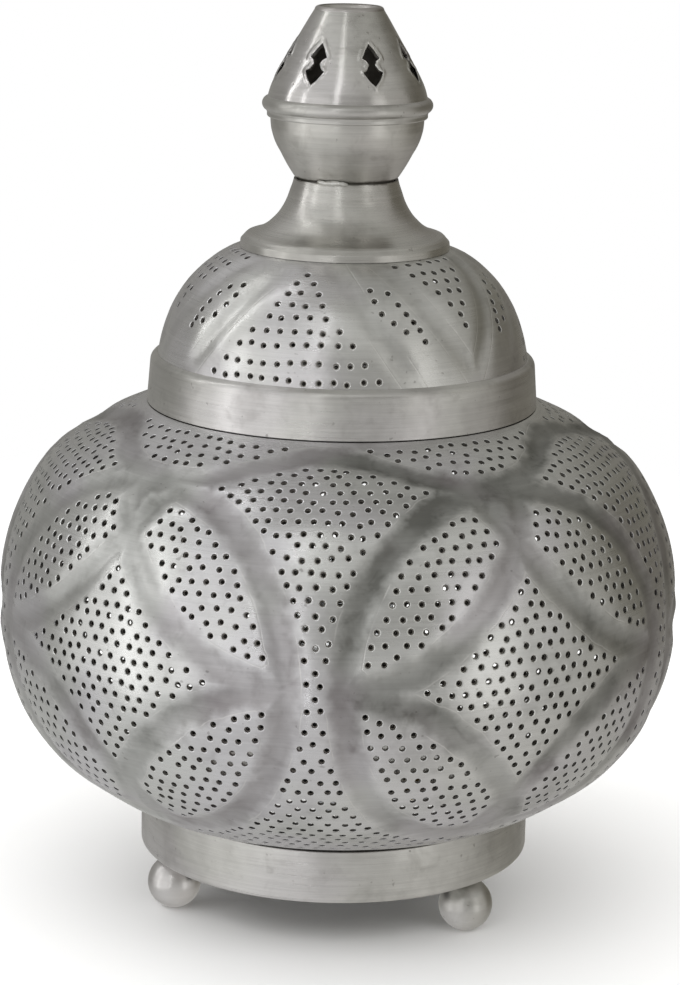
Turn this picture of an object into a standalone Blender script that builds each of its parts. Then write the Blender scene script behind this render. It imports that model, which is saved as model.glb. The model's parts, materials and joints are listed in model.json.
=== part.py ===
"""Pierced oriental table lamp in silver-toned brass.

A squashed, pierced and embossed globe stands on a base ring with three ball feet. A lid of collar band,
pierced dome, flared neck and finial lifts off its mouth. A small-screw lampholder and a round bulb stand
inside on a strap across the base ring. Metres, +Z up, origin on the table under the middle of the lamp.
The front of the lamp faces -Y. Azimuths are in degrees from the front, turning towards +X.
"""
import math

import bmesh
import bpy
import numpy as np
from mathutils import Matrix, Vector
from mathutils.geometry import delaunay_2d_cdt

# Clearances and sheet
CLEAR = 0.0003
SHEET = 0.0010
RING_SHEET = 0.0012

# Fixings
FIXING_R = 0.0020
NUT_H = 0.0030

# Feet
BALL_R = 0.0104
FOOT_INSET = 0.0100
FOOT_FLAT_R = 0.0020
FOOT_NECK_R = 0.0042
FOOT_NECK_H = 0.0016
FOOT_COUNT = 3
FOOT_AZIMUTH = -69.0

# Base ring, a channel open to the inside
RING_R = 0.0764
RING_H = 0.0212
FLANGE_W = 0.0200

# Globe
BELLY_R = 0.1320
BELLY_Z = 0.1200
SHOULDER_Z = 0.1990
FOOT_RIM_W = 0.0104
FOOT_RIM_RISE = 0.0007
FOOT_RIM_LEAD = 0.0030
UPSTAND_H = 0.0080
UPSTAND_GAP = 0.0014

# Lid
COLLAR_R = 0.0750
COLLAR_TAPER = 0.0015
COLLAR_H = 0.0200
COLLAR_ROUND = 0.0030
COLLAR_LIP_W = 0.0050
DOME_SETBACK = 0.0029
DOME_H = 0.0402
DOME_MOUTH_R = 0.0360
NECK_FOOT_R = 0.0401
NECK_LIP_H = 0.0041
NECK_TOP_R = 0.0198
NECK_H = 0.0256

# Finial
FINIAL_GAP = 0.0009
BOWL_R = 0.0291
BOWL_H = 0.0224
SPIGOT_L = 0.0070
CONE_TOP_R = 0.0136
CONE_FOOT_R = 0.0304
CONE_H = 0.0340
BEAD_R = 0.0026
SKIRT_H = 0.0022
BOWL_LAP = 0.0030
MOTIF_COUNT = 7
MOTIF_AZIMUTH = -29.7
MOTIF_L = 0.0172
MOTIF_W = 0.0076
MOTIF_WAIST = 0.0025
MOTIF_CENTRE = 0.58
SOLDER_AZIMUTH = -16.0
SOLDER_SPAN = 38.0
SOLDER_H = 0.0024
SOLDER_T = 0.0006

# Pattern of the globe: equal compass circles on its surface. The openings are fewer and wider than
# the drilled ones.
REPEATS = 5
PATTERN_AZIMUTH = -3.5
COMPASS = 0.0717
CIRCLE_MID_Z = 0.1200
CIRCLE_UP_Z = 0.1860
CIRCLE_LOW_Z = 0.0575
SCALLOP_Z = 0.1955
SCALLOP_RISE = 0.0090
GROOVE_HALF = 0.0064
GROOVE_DEPTH = 0.0016
GROOVE_EDGE = 0.0060
HOLE_R = 0.0021
HOLE_MARGIN = 0.0082
HOLE_PITCH = 0.0200
ROW_PITCH = 0.0170
TOP_BAND = 0.0068
FOOT_BAND = 0.0060
FILL_PITCH = 0.0130

# Pattern of the dome
DOME_REPEATS = 3
DOME_AZIMUTH = -16.0
DOME_GROOVE_DEPTH = 0.0009
DOME_GROOVE_HALF = 0.0036
DOME_MARGIN = 0.0046
DOME_HOLE_R = 0.0015
DOME_HOLE_PITCH = 0.0120
DOME_ROW_PITCH = 0.0100

# Lampholder and its strap
STRAP_W = 0.0180
STRAP_T = 0.0015
STRAP_END_GAP = 0.0050
NIPPLE_R = 0.0050
NIPPLE_BORE_R = 0.0036
NIPPLE_BELOW = 0.0076
HOLDER_R = 0.0140
HOLDER_WALL = 0.0016
CAP_H = 0.0136
CAP_FLOOR = 0.0020
INSERT_H = 0.0107
SLEEVE_R = 0.0073
SLEEVE_T = 0.0005
SLEEVE_H = 0.0215
SHELL_H = 0.0290
CONTACT_H = 0.0016

# Bulb
BULB_R = 0.0225
BULB_LENGTH = 0.0780
BULB_NECK_R = 0.0062
BULB_GLASS = 0.0008
BULB_CAP_R = 0.0069
BULB_CAP_H = 0.0200

# Inlet
GROMMET_BORE_R = 0.0036
GROMMET_SEAT_R = 0.0050
GROMMET_FLANGE_R = 0.0068
GROMMET_FLANGE_T = 0.0016

# Facets
AROUND = 40
AROUND_SMALL = 28
AROUND_TINY = 12

# Heights that follow from the sizes above, from the table upwards
BALL_Z = math.sqrt(BALL_R ** 2 - FOOT_FLAT_R ** 2)
RING_Z0 = BALL_Z + BALL_R + FOOT_NECK_H
RING_Z1 = RING_Z0 + RING_H
GLOBE_FOOT_Z = RING_Z1 + CLEAR
UPSTAND_Z = SHOULDER_Z + UPSTAND_H
UPSTAND_R = COLLAR_R - SHEET - UPSTAND_GAP
COLLAR_TOP_R = COLLAR_R - COLLAR_TAPER
COLLAR_Z0 = SHOULDER_Z + CLEAR
COLLAR_Z1 = COLLAR_Z0 + COLLAR_H
DOME_FOOT_R = COLLAR_TOP_R - DOME_SETBACK
DOME_Z0 = COLLAR_Z1 + 2 * CLEAR
DOME_Z1 = DOME_Z0 + DOME_H
FLANGE_Z = RING_Z1 - RING_SHEET
STRAP_Z1 = FLANGE_Z - CLEAR
STRAP_Z0 = STRAP_Z1 - STRAP_T
HOLDER_Z = STRAP_Z1 + CLEAR
FOOT_CIRCLE_R = RING_R - FOOT_INSET
BRIDGE_SCREW_X = RING_R - FLANGE_W + 0.0055


def material(name, color, roughness, metallic):
    """A plain surface finish."""
    found = bpy.data.materials.get(name)
    if found:
        return found
    made = bpy.data.materials.new(name)
    made.use_nodes = True
    shader = made.node_tree.nodes["Principled BSDF"]
    shader.inputs["Base Color"].default_value = (*color, 1.0)
    shader.inputs["Roughness"].default_value = roughness
    shader.inputs["Metallic"].default_value = metallic
    return made


SILVERED = ("silvered brass", (0.47, 0.46, 0.44), 0.38, 1.0)
SOLDERED = ("solder", (0.62, 0.61, 0.58), 0.45, 1.0)
ZINC = ("zinc-plated steel", (0.55, 0.56, 0.58), 0.35, 1.0)
BRASS = ("bare brass", (0.60, 0.45, 0.20), 0.35, 1.0)
PLASTIC = ("black thermoset", (0.03, 0.03, 0.03), 0.40, 0.0)
CERAMIC = ("white ceramic", (0.85, 0.84, 0.80), 0.30, 0.0)
GLASS = ("clear glass", (0.90, 0.93, 0.95), 0.05, 0.0)
RUBBER = ("black rubber", (0.02, 0.02, 0.02), 0.70, 0.0)
TUNGSTEN = ("tungsten", (0.25, 0.25, 0.26), 0.40, 1.0)


def add_object(name, data, place=None):
    """Link a mesh or a curve into the scene at its place, under the empty of the body it belongs to."""
    made = bpy.data.objects.new(name, data)
    bpy.context.scene.collection.objects.link(made)
    if place is not None:
        made.matrix_world = place
    made.parent = next((bodies[key] for key in bodies if name.startswith(key)), bodies["lamp"])
    return made


def finish(name, bm, look, sharp=35.0, place=None):
    """Turn a bmesh into a named object with its material."""
    mesh = bpy.data.meshes.new(name)
    bm.to_mesh(mesh)
    bm.free()
    mesh.shade_smooth()
    mesh.set_sharp_from_angle(angle=math.radians(sharp))
    mesh.materials.append(material(*look))
    return add_object(name, mesh, place)


def repeated(name, bm, look, places):
    """Numbered copies of one piece, which share a mesh."""
    first = finish(f"{name}_1", bm, look, place=places[0])
    for number, place in enumerate(places[1:], 2):
        add_object(f"{name}_{number}", first.data, place)


def spun(outline, segments, start=0.0, closed=True):
    """Spin an outline of (radius, height) points round the Z axis into a bmesh."""
    bm = bmesh.new()
    turn = math.radians(start)
    points = [bm.verts.new((r * math.sin(turn), -r * math.cos(turn), z)) for r, z in outline]
    edges = [bm.edges.new(pair) for pair in zip(points, points[1:])]
    if closed:
        edges.append(bm.edges.new((points[-1], points[0])))
    bmesh.ops.spin(bm, geom=points + edges, axis=(0, 0, 1), cent=(0, 0, 0),
                   angle=math.tau, steps=segments, use_duplicate=False)
    bmesh.ops.remove_doubles(bm, verts=bm.verts, dist=1e-6)
    bmesh.ops.recalc_face_normals(bm, faces=bm.faces)
    return bm


def lathe(name, outline, segments, look, start=0.0, closed=True, place=None):
    """A turned piece. An outline that starts and ends on the axis is left open."""
    return finish(name, spun(outline, segments, start, closed), look, place=place)


def tube(r_out, r_in, z0, z1):
    """Outline of a plain tube."""
    return [(r_out, z1), (r_out, z0), (r_in, z0), (r_in, z1)]


def rod(r, z0, z1):
    """Outline of a solid rod, from axis to axis."""
    return [(0.0, z1), (r, z1), (r, z0), (0.0, z0)]


def arc(cr, cz, radius, start, end, steps):
    """Points of an arc in the (radius, height) plane, angles in degrees from the outward direction."""
    angles = [math.radians(start + (end - start) * i / steps) for i in range(steps + 1)]
    return [(cr + radius * math.cos(a), cz + radius * math.sin(a)) for a in angles]


def inward(outline, thickness):
    """Offset a profile that runs from top to bottom down its outer side towards the inside."""
    points = np.array(outline)
    steps = np.diff(points, axis=0)
    steps /= np.linalg.norm(steps, axis=1)[:, None]
    normals = np.stack([steps[:, 1], -steps[:, 0]], axis=1)
    first, last = normals[:1], normals[-1:]
    before = np.concatenate([first, normals])
    after = np.concatenate([normals, last])
    both = before + after
    scale = thickness / (1 + (before * after).sum(axis=1))
    return [tuple(p) for p in points + both * scale[:, None]]


def shell_outline(outer, thickness=SHEET):
    """Closed outline of a sheet that follows an outer profile."""
    return list(outer) + inward(outer, thickness)[::-1]


def placed(azimuth, radius, z=0.0):
    """Move a piece made on the Z axis out to its place on a circle."""
    a = math.radians(azimuth)
    return Matrix.Translation((radius * math.sin(a), -radius * math.cos(a), z)) @ Matrix.Rotation(a, 4, "Z")


def joined(parts):
    """Put several bmeshes into one."""
    whole = bmesh.new()
    for bm in parts:
        scratch = bpy.data.meshes.new("scratch")
        bm.to_mesh(scratch)
        bm.free()
        whole.from_mesh(scratch)
        bpy.data.meshes.remove(scratch)
    return whole


def cutter(name, bm):
    """A hidden tool for a Boolean."""
    mesh = bpy.data.meshes.new(name)
    bm.to_mesh(mesh)
    bm.free()
    made = bpy.data.objects.new(name, mesh)
    made.hide_render = True
    made.display_type = "WIRE"
    bpy.context.scene.collection.objects.link(made)
    return made


def cut(piece, tool):
    """Cut a tool out of a piece."""
    step = piece.modifiers.new(tool.name, "BOOLEAN")
    step.operation = "DIFFERENCE"
    step.solver = "EXACT"
    step.object = tool


def smooth_curve(points, steps):
    """Catmull-Rom curve through the points."""
    ends = [tuple(2 * np.array(points[0]) - np.array(points[1]))]
    tail = [tuple(2 * np.array(points[-1]) - np.array(points[-2]))]
    p = np.array(ends + list(points) + tail)
    out = []
    for i in range(1, len(p) - 2):
        for k in range(steps):
            t = k / steps
            out.append(0.5 * (2 * p[i] + (p[i + 1] - p[i - 1]) * t
                              + (2 * p[i - 1] - 5 * p[i] + 4 * p[i + 1] - p[i + 2]) * t ** 2
                              + (3 * p[i] - p[i - 1] - 3 * p[i + 1] + p[i + 2]) * t ** 3))
    out.append(p[-2])
    return [tuple(q) for q in out]


def swelling(end, belly, fractions):
    """Points between an end and the belly: each pair is a share of the height and of the swell."""
    (r0, z0), (r1, z1) = end, belly
    return [(r0 + (r1 - r0) * swell, z0 + (z1 - z0) * height) for height, swell in fractions]


# How the globe swells from the collar down to the belly, and from the foot up to it
SHOULDER_SWELL = ((0.0, 0.0), (0.035, 0.105), (0.09, 0.28), (0.15, 0.44), (0.27, 0.66),
                  (0.41, 0.795), (0.60, 0.915), (0.80, 0.981), (1.0, 1.0))
UNDERSIDE_SWELL = ((0.0, 0.0), (0.03, 0.17), (0.08, 0.29), (0.14, 0.41), (0.24, 0.60),
                   (0.37, 0.75), (0.51, 0.862), (0.72, 0.956), (0.90, 0.995))
# How the dome swells from under the neck down to the collar
DOME_SWELL = ((0.0, 0.0), (0.025, 0.10), (0.054, 0.214), (0.10, 0.325), (0.165, 0.44), (0.236, 0.538),
              (0.376, 0.694), (0.59, 0.85), (0.813, 0.948), (1.0, 1.0))


class Profile:
    """An outer profile that can be read by its length from the top."""

    def __init__(self, points):
        self.points = np.array(points)
        runs = np.linalg.norm(np.diff(self.points, axis=0), axis=1)
        self.lengths = np.concatenate([[0.0], np.cumsum(runs)])
        self.total = self.lengths[-1]

    def at(self, s):
        """Radius and height at a length from the top."""
        return np.interp(s, self.lengths, self.points[:, 0]), np.interp(s, self.lengths, self.points[:, 1])

    def normal(self, s):
        """Outward direction in the (radius, height) plane."""
        step = 0.0004
        s = min(max(s, 0.0), self.total)
        r0, z0 = self.at(max(s - step, 0.0))
        r1, z1 = self.at(min(s + step, self.total))
        length = math.hypot(r1 - r0, z1 - z0)
        return (z0 - z1) / length, (r1 - r0) / length

    def length_at(self, z):
        """Length from the top to a height."""
        return float(np.interp(-z, -self.points[:, 1], self.lengths))


def on_surface(profile, azimuth, s, offset=0.0):
    """The place on a profile's surface at an azimuth in radians, moved out by an offset."""
    r, z = profile.at(s)
    out, up = profile.normal(s)
    r += out * offset
    z += up * offset
    return Vector((r * math.sin(azimuth), -r * math.cos(azimuth), z))


def bell(distance, half):
    """A soft trough: one at its middle and near nothing at its edge."""
    return math.exp(-1.6 * (distance / half) ** 2)


class GlobePattern:
    """Circles drawn with one compass setting on the globe, and the fields that they part."""

    def __init__(self, profile):
        self.profile = profile
        self.half = math.pi / REPEATS
        self.centres = {}
        for name, azimuth, z in (("middle", self.half, CIRCLE_MID_Z), ("before", -self.half, CIRCLE_MID_Z),
                                 ("upper", 0.0, CIRCLE_UP_Z), ("upper_next", 2 * self.half, CIRCLE_UP_Z),
                                 ("lower", 0.0, CIRCLE_LOW_Z), ("lower_next", 2 * self.half, CIRCLE_LOW_Z)):
            self.centres[name] = on_surface(profile, azimuth, profile.length_at(z))

    def offset(self, name, azimuth, s):
        """How far a place lies outside a circle, less than nothing inside it."""
        return (on_surface(self.profile, azimuth, s) - self.centres[name]).length - COMPASS

    def scallop_height(self, azimuth):
        """Height of the shallow arch over a fan."""
        return SCALLOP_Z - SCALLOP_RISE * (1 - math.cos(azimuth * math.pi / (2 * self.half)) ** 2)

    def field(self, azimuth, s):
        """Name of the field that a place lies in, and its distance to the nearest groove."""
        z = self.profile.at(s)[1]
        away = {name: self.offset(name, azimuth, s) for name in self.centres}
        lines = [abs(away["middle"]), abs(away["before"])]
        if away["middle"] < 0:
            lines += [abs(away[name]) for name in self.centres if name not in ("middle", "before")]
            uppers = (away["upper"] < 0) + (away["upper_next"] < 0)
            lowers = (away["lower"] < 0) + (away["lower_next"] < 0)
            name = {(0, 0): "diamond", (1, 0): "upper lens", (0, 1): "lower lens"}.get((uppers, lowers), "plain")
            return name, min(lines)
        arch = self.scallop_height(azimuth)
        lines.append(abs(z - arch) * 1.6)
        if z > arch:
            return "triangle", min(lines)
        return ("upper fan" if z > CIRCLE_MID_Z else "lower fan"), min(lines)

    def relief(self, azimuth, s):
        """Offset of the embossed surface from the plain profile."""
        z = self.profile.at(s)[1]
        name, distance = self.field(azimuth, s)
        top = min(max((SHOULDER_Z - 0.0015 - z) / 0.004, 0.0), 1.0)
        foot = min(max((z - GLOBE_FOOT_Z - 0.003) / 0.008, 0.0), 1.0)
        return -GROOVE_DEPTH * bell(distance, GROOVE_HALF) * top * foot


def circle_points(profile, centre_azimuth, centre_s, radius, directions):
    """Places at one straight-line distance from a centre on the surface."""
    centre = on_surface(profile, centre_azimuth, centre_s)
    scale = profile.at(centre_s)[0]
    found = []
    for direction in directions:
        low, high = 0.0, 1.8 * radius
        for _ in range(24):
            middle = (low + high) / 2
            azimuth = centre_azimuth + middle * math.sin(direction) / scale
            s = centre_s - middle * math.cos(direction)
            far = (on_surface(profile, azimuth, s) - centre).length > radius
            low, high = (low, middle) if far else (middle, high)
        found.append((centre_azimuth + low * math.sin(direction) / scale, centre_s - low * math.cos(direction)))
    return found


def crossing(test, low, high):
    """Where a test value changes sign between two lengths."""
    sign = test(low) > 0
    for _ in range(30):
        middle = (low + high) / 2
        low, high = (middle, high) if (test(middle) > 0) == sign else (low, middle)
    return (low + high) / 2


class Flat:
    """The flat layout of half a repeat of a pierced sheet, in azimuth by length, both in metres."""

    def __init__(self, profile, half, scale):
        self.profile = profile
        self.half = half
        self.scale = scale
        self.points = []
        self.edges = []
        self.holes = []

    def add(self, azimuth, s):
        """Add a corner, or find it again."""
        point = (min(max(azimuth, 0.0), self.half) * self.scale, s)
        for i, other in enumerate(self.points):
            if math.dist(other, point) < 2e-5:
                return i
        self.points.append(point)
        return len(self.points) - 1

    def line(self, places):
        """Add a run of joined corners."""
        numbers = [self.add(*place) for place in places]
        self.edges += [pair for pair in zip(numbers, numbers[1:]) if pair[0] != pair[1]]

    def pierce(self, azimuth, s, radius):
        """Add a four-cornered hole. On the edge of the layout it is half a hole."""
        across = radius * self.scale / self.profile.at(s)[0]
        self.holes.append((azimuth * self.scale, s, across, radius))
        left = (azimuth - across / self.scale, s)
        right = (azimuth + across / self.scale, s)
        ends = [(azimuth, s - radius), (azimuth, s + radius)]
        if azimuth <= 0:
            self.line([ends[0], right, ends[1]])
        elif azimuth >= self.half:
            self.line([ends[0], left, ends[1]])
        else:
            self.line([ends[0], right, ends[1], left, ends[0]])

    def fill(self, spacing, s0, s1):
        """Add loose corners where the layout is still empty."""
        rows = max(int((s1 - s0) / (spacing * 0.87)), 1)
        for row in range(1, rows):
            s = s0 + (s1 - s0) * row / rows
            width = self.half * self.profile.at(s)[0]
            columns = max(round(width / spacing), 1)
            shift = 0.5 * (row % 2)
            for column in range(columns + 1):
                share = min(max((column + shift) / columns, 0.0), 1.0)
                point = (share * self.half * self.scale, s)
                stretch = self.profile.at(s)[0] / self.scale
                gaps = [math.hypot((point[0] - q[0]) * stretch, point[1] - q[1]) for q in self.points]
                if min(gaps) > 0.60 * spacing:
                    self.points.append(point)

    def triangles(self):
        """Cut the layout into triangles and leave the holes open."""
        corners = [Vector(point) for point in self.points]
        result = delaunay_2d_cdt(corners, self.edges, [], 0, 1e-7)
        flat, faces = result[0], result[2]
        kept = []
        for face in faces:
            x = sum(flat[i][0] for i in face) / 3
            y = sum(flat[i][1] for i in face) / 3
            inside = any(abs(x - hx) / across + abs(y - hy) / radius < 0.999
                         for hx, hy, across, radius in self.holes)
            if not inside:
                kept.append(face)
        return flat, kept

    def sheet(self, repeats, start, relief, thickness):
        """Wrap the layout round the form, mirrored and repeated, and give it its thickness."""
        flat, faces = self.triangles()
        bm = bmesh.new()
        for copy in range(2 * repeats):
            turn = math.radians(start) + copy * self.half + (self.half if copy % 2 else 0.0)
            sign = -1.0 if copy % 2 else 1.0
            made = []
            for x, s in flat:
                azimuth = x / self.scale
                offset = relief(azimuth, s)
                made.append(bm.verts.new(on_surface(self.profile, turn + sign * azimuth, s, offset)))
            for face in faces:
                bm.faces.new([made[i] for i in face])
        bmesh.ops.remove_doubles(bm, verts=bm.verts, dist=1e-6)
        bmesh.ops.recalc_face_normals(bm, faces=bm.faces)
        point_out(bm)
        bmesh.ops.solidify(bm, geom=bm.faces[:], thickness=thickness)
        bmesh.ops.recalc_face_normals(bm, faces=bm.faces)
        return bm


def point_out(bm):
    """Turn a sheet's faces away from the Z axis where its first wide face looks inwards."""
    face = max(bm.faces, key=lambda f: f.calc_area())
    middle = face.calc_center_median()
    if face.normal.x * middle.x + face.normal.y * middle.y < 0:
        bmesh.ops.reverse_faces(bm, faces=bm.faces[:])


def globe_profile():
    """Outer profile of the globe: upstand, shoulder, belly, underside and flat foot rim."""
    shoulder = swelling((COLLAR_R, SHOULDER_Z), (BELLY_R, BELLY_Z), SHOULDER_SWELL)
    foot_z = GLOBE_FOOT_Z + FOOT_RIM_RISE
    underside = swelling((RING_R, foot_z), (BELLY_R, BELLY_Z), UNDERSIDE_SWELL)
    body = smooth_curve(shoulder + underside[::-1], 10)
    upstand = [(UPSTAND_R, UPSTAND_Z), (UPSTAND_R, SHOULDER_Z)]
    rim = [(RING_R - FOOT_RIM_LEAD, GLOBE_FOOT_Z), (RING_R - FOOT_RIM_W, GLOBE_FOOT_Z)]
    return Profile(upstand + body + rim)


def rows_of_holes(flat, pattern, axis_azimuth, names, s0, s1):
    """Staggered rows of holes, laid out from an axis, kept where they clear the grooves."""
    row = 0
    s = s0
    while s < s1:
        r = flat.profile.at(s)[0]
        shift = 0.5 * (row % 2)
        for column in range(int(flat.half * r / HOLE_PITCH) + 1):
            away = (column + shift) * HOLE_PITCH / r
            azimuth = abs(axis_azimuth - away)
            if azimuth > flat.half or (0 < azimuth * r < 0.0030 and away > 0):
                continue
            name, distance = pattern.field(azimuth, s)
            waist = name in ("upper fan", "lower fan") and azimuth == 0.0
            if name in names and distance > (HOLE_MARGIN * 0.58 if waist else HOLE_MARGIN):
                flat.pierce(azimuth, s, HOLE_R)
        row += 1
        s += ROW_PITCH


def make_globe():
    """The pierced and embossed globe."""
    profile = globe_profile()
    pattern = GlobePattern(profile)
    half = pattern.half
    flat = Flat(profile, half, BELLY_R)
    middle_s = profile.length_at(CIRCLE_MID_Z)
    foot_s = profile.length_at(GLOBE_FOOT_Z + FOOT_RIM_RISE)
    shoulder_s = UPSTAND_H + COLLAR_R - UPSTAND_R
    top_rows = [0.0, UPSTAND_H, shoulder_s]
    foot_rows = [foot_s, foot_s + math.hypot(FOOT_RIM_LEAD, FOOT_RIM_RISE), profile.total]
    columns = AROUND // (2 * REPEATS)
    for s in top_rows + foot_rows:
        flat.line([(half * i / columns, s) for i in range(columns + 1)])
    flat.line([(0.0, s) for s in (top_rows[0], top_rows[-1])])

    def groove(line, sides):
        """Lay out a groove: its joined middle, and loose corners along both its edges."""
        flat.line(line)
        for side in sides:
            for azimuth, s in side:
                clear = pattern.field(azimuth, s)[1] > 0.9 * GROOVE_EDGE
                if clear and -0.01 < azimuth < half + 0.01 and shoulder_s + 0.004 < s < foot_s - 0.003:
                    flat.add(azimuth, s)

    turns = [math.radians(-180 + 180 * i / 18) for i in range(19)]
    runs = [circle_points(profile, half, middle_s, COMPASS + side * GROOVE_EDGE, turns) for side in (0, -1, 1)]
    groove([p for p in runs[0] if p[1] < foot_s - FOOT_BAND], runs[1:])
    for name, z, start, end in (("upper", CIRCLE_UP_Z, 90, 180), ("lower", CIRCLE_LOW_Z, 90, 0)):
        centre_s = profile.length_at(z)
        turns = [math.radians(start + (end - start) * i / 8) for i in range(9)]
        runs = [circle_points(profile, 0.0, centre_s, COMPASS + side * GROOVE_EDGE, turns) for side in (0, -1, 1)]
        inside = [p for p in runs[0] if p[0] < half * 0.95 and pattern.offset("middle", *p) < -0.008]
        low, high = sorted((centre_s, middle_s))
        meet = crossing(lambda s: pattern.offset(name, half, s), low - 0.01, high + 0.01)
        within = [[p for p in run if pattern.offset("middle", *p) < 0] for run in runs[1:]]
        groove([(half, meet)] + inside, within)
    arch = [(half * share, profile.length_at(pattern.scallop_height(half * share)))
            for share in (0.0, 0.2, 0.4, 0.6, 0.8)]
    groove(arch, [[(a, s + GROOVE_EDGE * side) for a, s in arch] for side in (-1, 1)])

    low, high = shoulder_s + TOP_BAND, foot_s - FOOT_BAND
    rows_of_holes(flat, pattern, half, ("diamond", "upper lens", "lower lens"), middle_s - 5 * ROW_PITCH, high)
    rows_of_holes(flat, pattern, 0.0, ("upper fan", "lower fan"), middle_s - 5 * ROW_PITCH, high)
    rows_of_holes(flat, pattern, half, ("triangle",), low, middle_s)
    flat.fill(FILL_PITCH, shoulder_s, foot_s)
    bm = flat.sheet(REPEATS, PATTERN_AZIMUTH, pattern.relief, SHEET)
    print("globe", len(flat.holes), "holes in half a repeat")
    return finish("globe", bm, SILVERED, 30.0)


def make_dome():
    """The pierced dome of the lid."""
    points = swelling((DOME_MOUTH_R, DOME_Z1), (DOME_FOOT_R, DOME_Z0), DOME_SWELL)
    profile = Profile(smooth_curve(points, 8))
    half = math.pi / DOME_REPEATS
    flat = Flat(profile, half, DOME_FOOT_R)
    columns = AROUND // (2 * DOME_REPEATS) + 1
    for s in (0.0, profile.total):
        flat.line([(half * i / columns, s) for i in range(columns + 1)])
    top, foot = 0.008, profile.total - 0.0015
    first = ((math.radians(8), top), (math.radians(34), foot))
    second = ((math.radians(32), top), (math.radians(54), foot - 0.006))
    for start, end in (first, second):
        flat.line([(start[0] + (end[0] - start[0]) * t, start[1] + (end[1] - start[1]) * t)
                   for t in (0.0, 0.25, 0.5, 0.75, 1.0)])

    def beside(azimuth, s, run):
        """Distance to the right of a groove, less than nothing to its left."""
        (a0, s0), (a1, s1) = run
        along = (s - s0) / (s1 - s0)
        slant = math.hypot((a1 - a0) * 0.06, s1 - s0) / (s1 - s0)
        return (azimuth - a0 - (a1 - a0) * along) * profile.at(s)[0] / slant

    def relief(azimuth, s):
        distance = min(abs(beside(azimuth, s, first)), abs(beside(azimuth, s, second)))
        fade = min(max((profile.total - s) / 0.006, 0.0), 1.0) * min(max((s - 0.006) / 0.006, 0.0), 1.0)
        return -DOME_GROOVE_DEPTH * bell(distance, DOME_GROOVE_HALF) * fade

    for axis, low, high in ((0.0, 0.011, profile.total), (half, 0.011, profile.total - 0.016)):
        row = 0
        s = foot - 0.0025
        while s > low:
            r = profile.at(s)[0]
            for column in range(int(half * r / DOME_HOLE_PITCH) + 1):
                away = (column + 0.5 * (row % 2)) * DOME_HOLE_PITCH / r
                azimuth = abs(axis - away)
                if axis == 0.0:
                    inside = beside(azimuth, s, first) < -DOME_MARGIN
                else:
                    inside = beside(azimuth, s, second) > DOME_MARGIN and s < high
                if inside and azimuth <= half:
                    flat.pierce(azimuth, s, DOME_HOLE_R)
            row += 1
            s -= DOME_ROW_PITCH
    for t in (0.30, 0.42, 0.54, 0.66, 0.78):
        s = top + (foot - top) * t
        left = first[0][0] + (first[1][0] - first[0][0]) * t
        right = second[0][0] + (second[1][0] - second[0][0]) * (s - top) / (second[1][1] - top)
        flat.pierce((left + right) / 2, s, DOME_HOLE_R)
    flat.fill(FILL_PITCH, 0.0, profile.total)
    bm = flat.sheet(DOME_REPEATS, DOME_AZIMUTH, relief, SHEET)
    print("dome", len(flat.holes), "holes in half a repeat")
    return finish("lid_dome", bm, SILVERED, 30.0)


def make_ring():
    """The base ring, a channel open to the inside, with the holes of what it carries."""
    inner = RING_R - RING_SHEET
    lip = RING_R - FLANGE_W
    edge = 0.0012
    outline = [(RING_R, RING_Z1), (RING_R, RING_Z0 + edge), (RING_R - edge, RING_Z0),
               (lip, RING_Z0), (lip, RING_Z0 + RING_SHEET), (inner, RING_Z0 + RING_SHEET),
               (inner, FLANGE_Z), (lip, FLANGE_Z), (lip, RING_Z1)]
    ring = lathe("base_ring", outline, AROUND, SILVERED, PATTERN_AZIMUTH)
    foot_holes = []
    for i in range(FOOT_COUNT):
        bm = spun(rod(FIXING_R + CLEAR, RING_Z0 - 0.002, RING_Z0 + 0.004), 6, 0, False)
        bm.transform(placed(FOOT_AZIMUTH + 360 / FOOT_COUNT * i, FOOT_CIRCLE_R))
        foot_holes.append(bm)
    for side in (-1, 1):
        bm = spun(rod(FIXING_R + CLEAR, FLANGE_Z - 0.002, RING_Z1 + 0.002), 6, 0, False)
        bm.transform(Matrix.Translation((side * BRIDGE_SCREW_X, 0, 0)))
        foot_holes.append(bm)
    inlet = spun(rod(GROMMET_SEAT_R + CLEAR, -0.006, 0.006), AROUND_TINY, 0, False)
    inlet.transform(inlet_place())
    foot_holes.append(inlet)
    cut(ring, cutter("ring_holes", joined(foot_holes)))
    return ring


def inlet_place():
    """Where the cord inlet sits: the middle of the ring's wall at the back."""
    middle = Vector((0, RING_R - RING_SHEET / 2, (RING_Z0 + RING_Z1) / 2))
    return Matrix.Translation(middle) @ Matrix.Rotation(math.radians(-90), 4, "X")


def make_grommet():
    """The rubber inlet, made on Z and turned to lie along Y."""
    near = -RING_SHEET / 2 - CLEAR - 0.0003
    far = RING_SHEET / 2 + CLEAR
    outline = [(GROMMET_FLANGE_R, far + GROMMET_FLANGE_T), (GROMMET_FLANGE_R, far), (GROMMET_SEAT_R, far),
               (GROMMET_SEAT_R, near), (GROMMET_FLANGE_R, near), (GROMMET_FLANGE_R, near - GROMMET_FLANGE_T),
               (GROMMET_BORE_R, near - GROMMET_FLANGE_T), (GROMMET_BORE_R, far + GROMMET_FLANGE_T)]
    lathe("cord_grommet", outline, AROUND_TINY, RUBBER, place=inlet_place())


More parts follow.
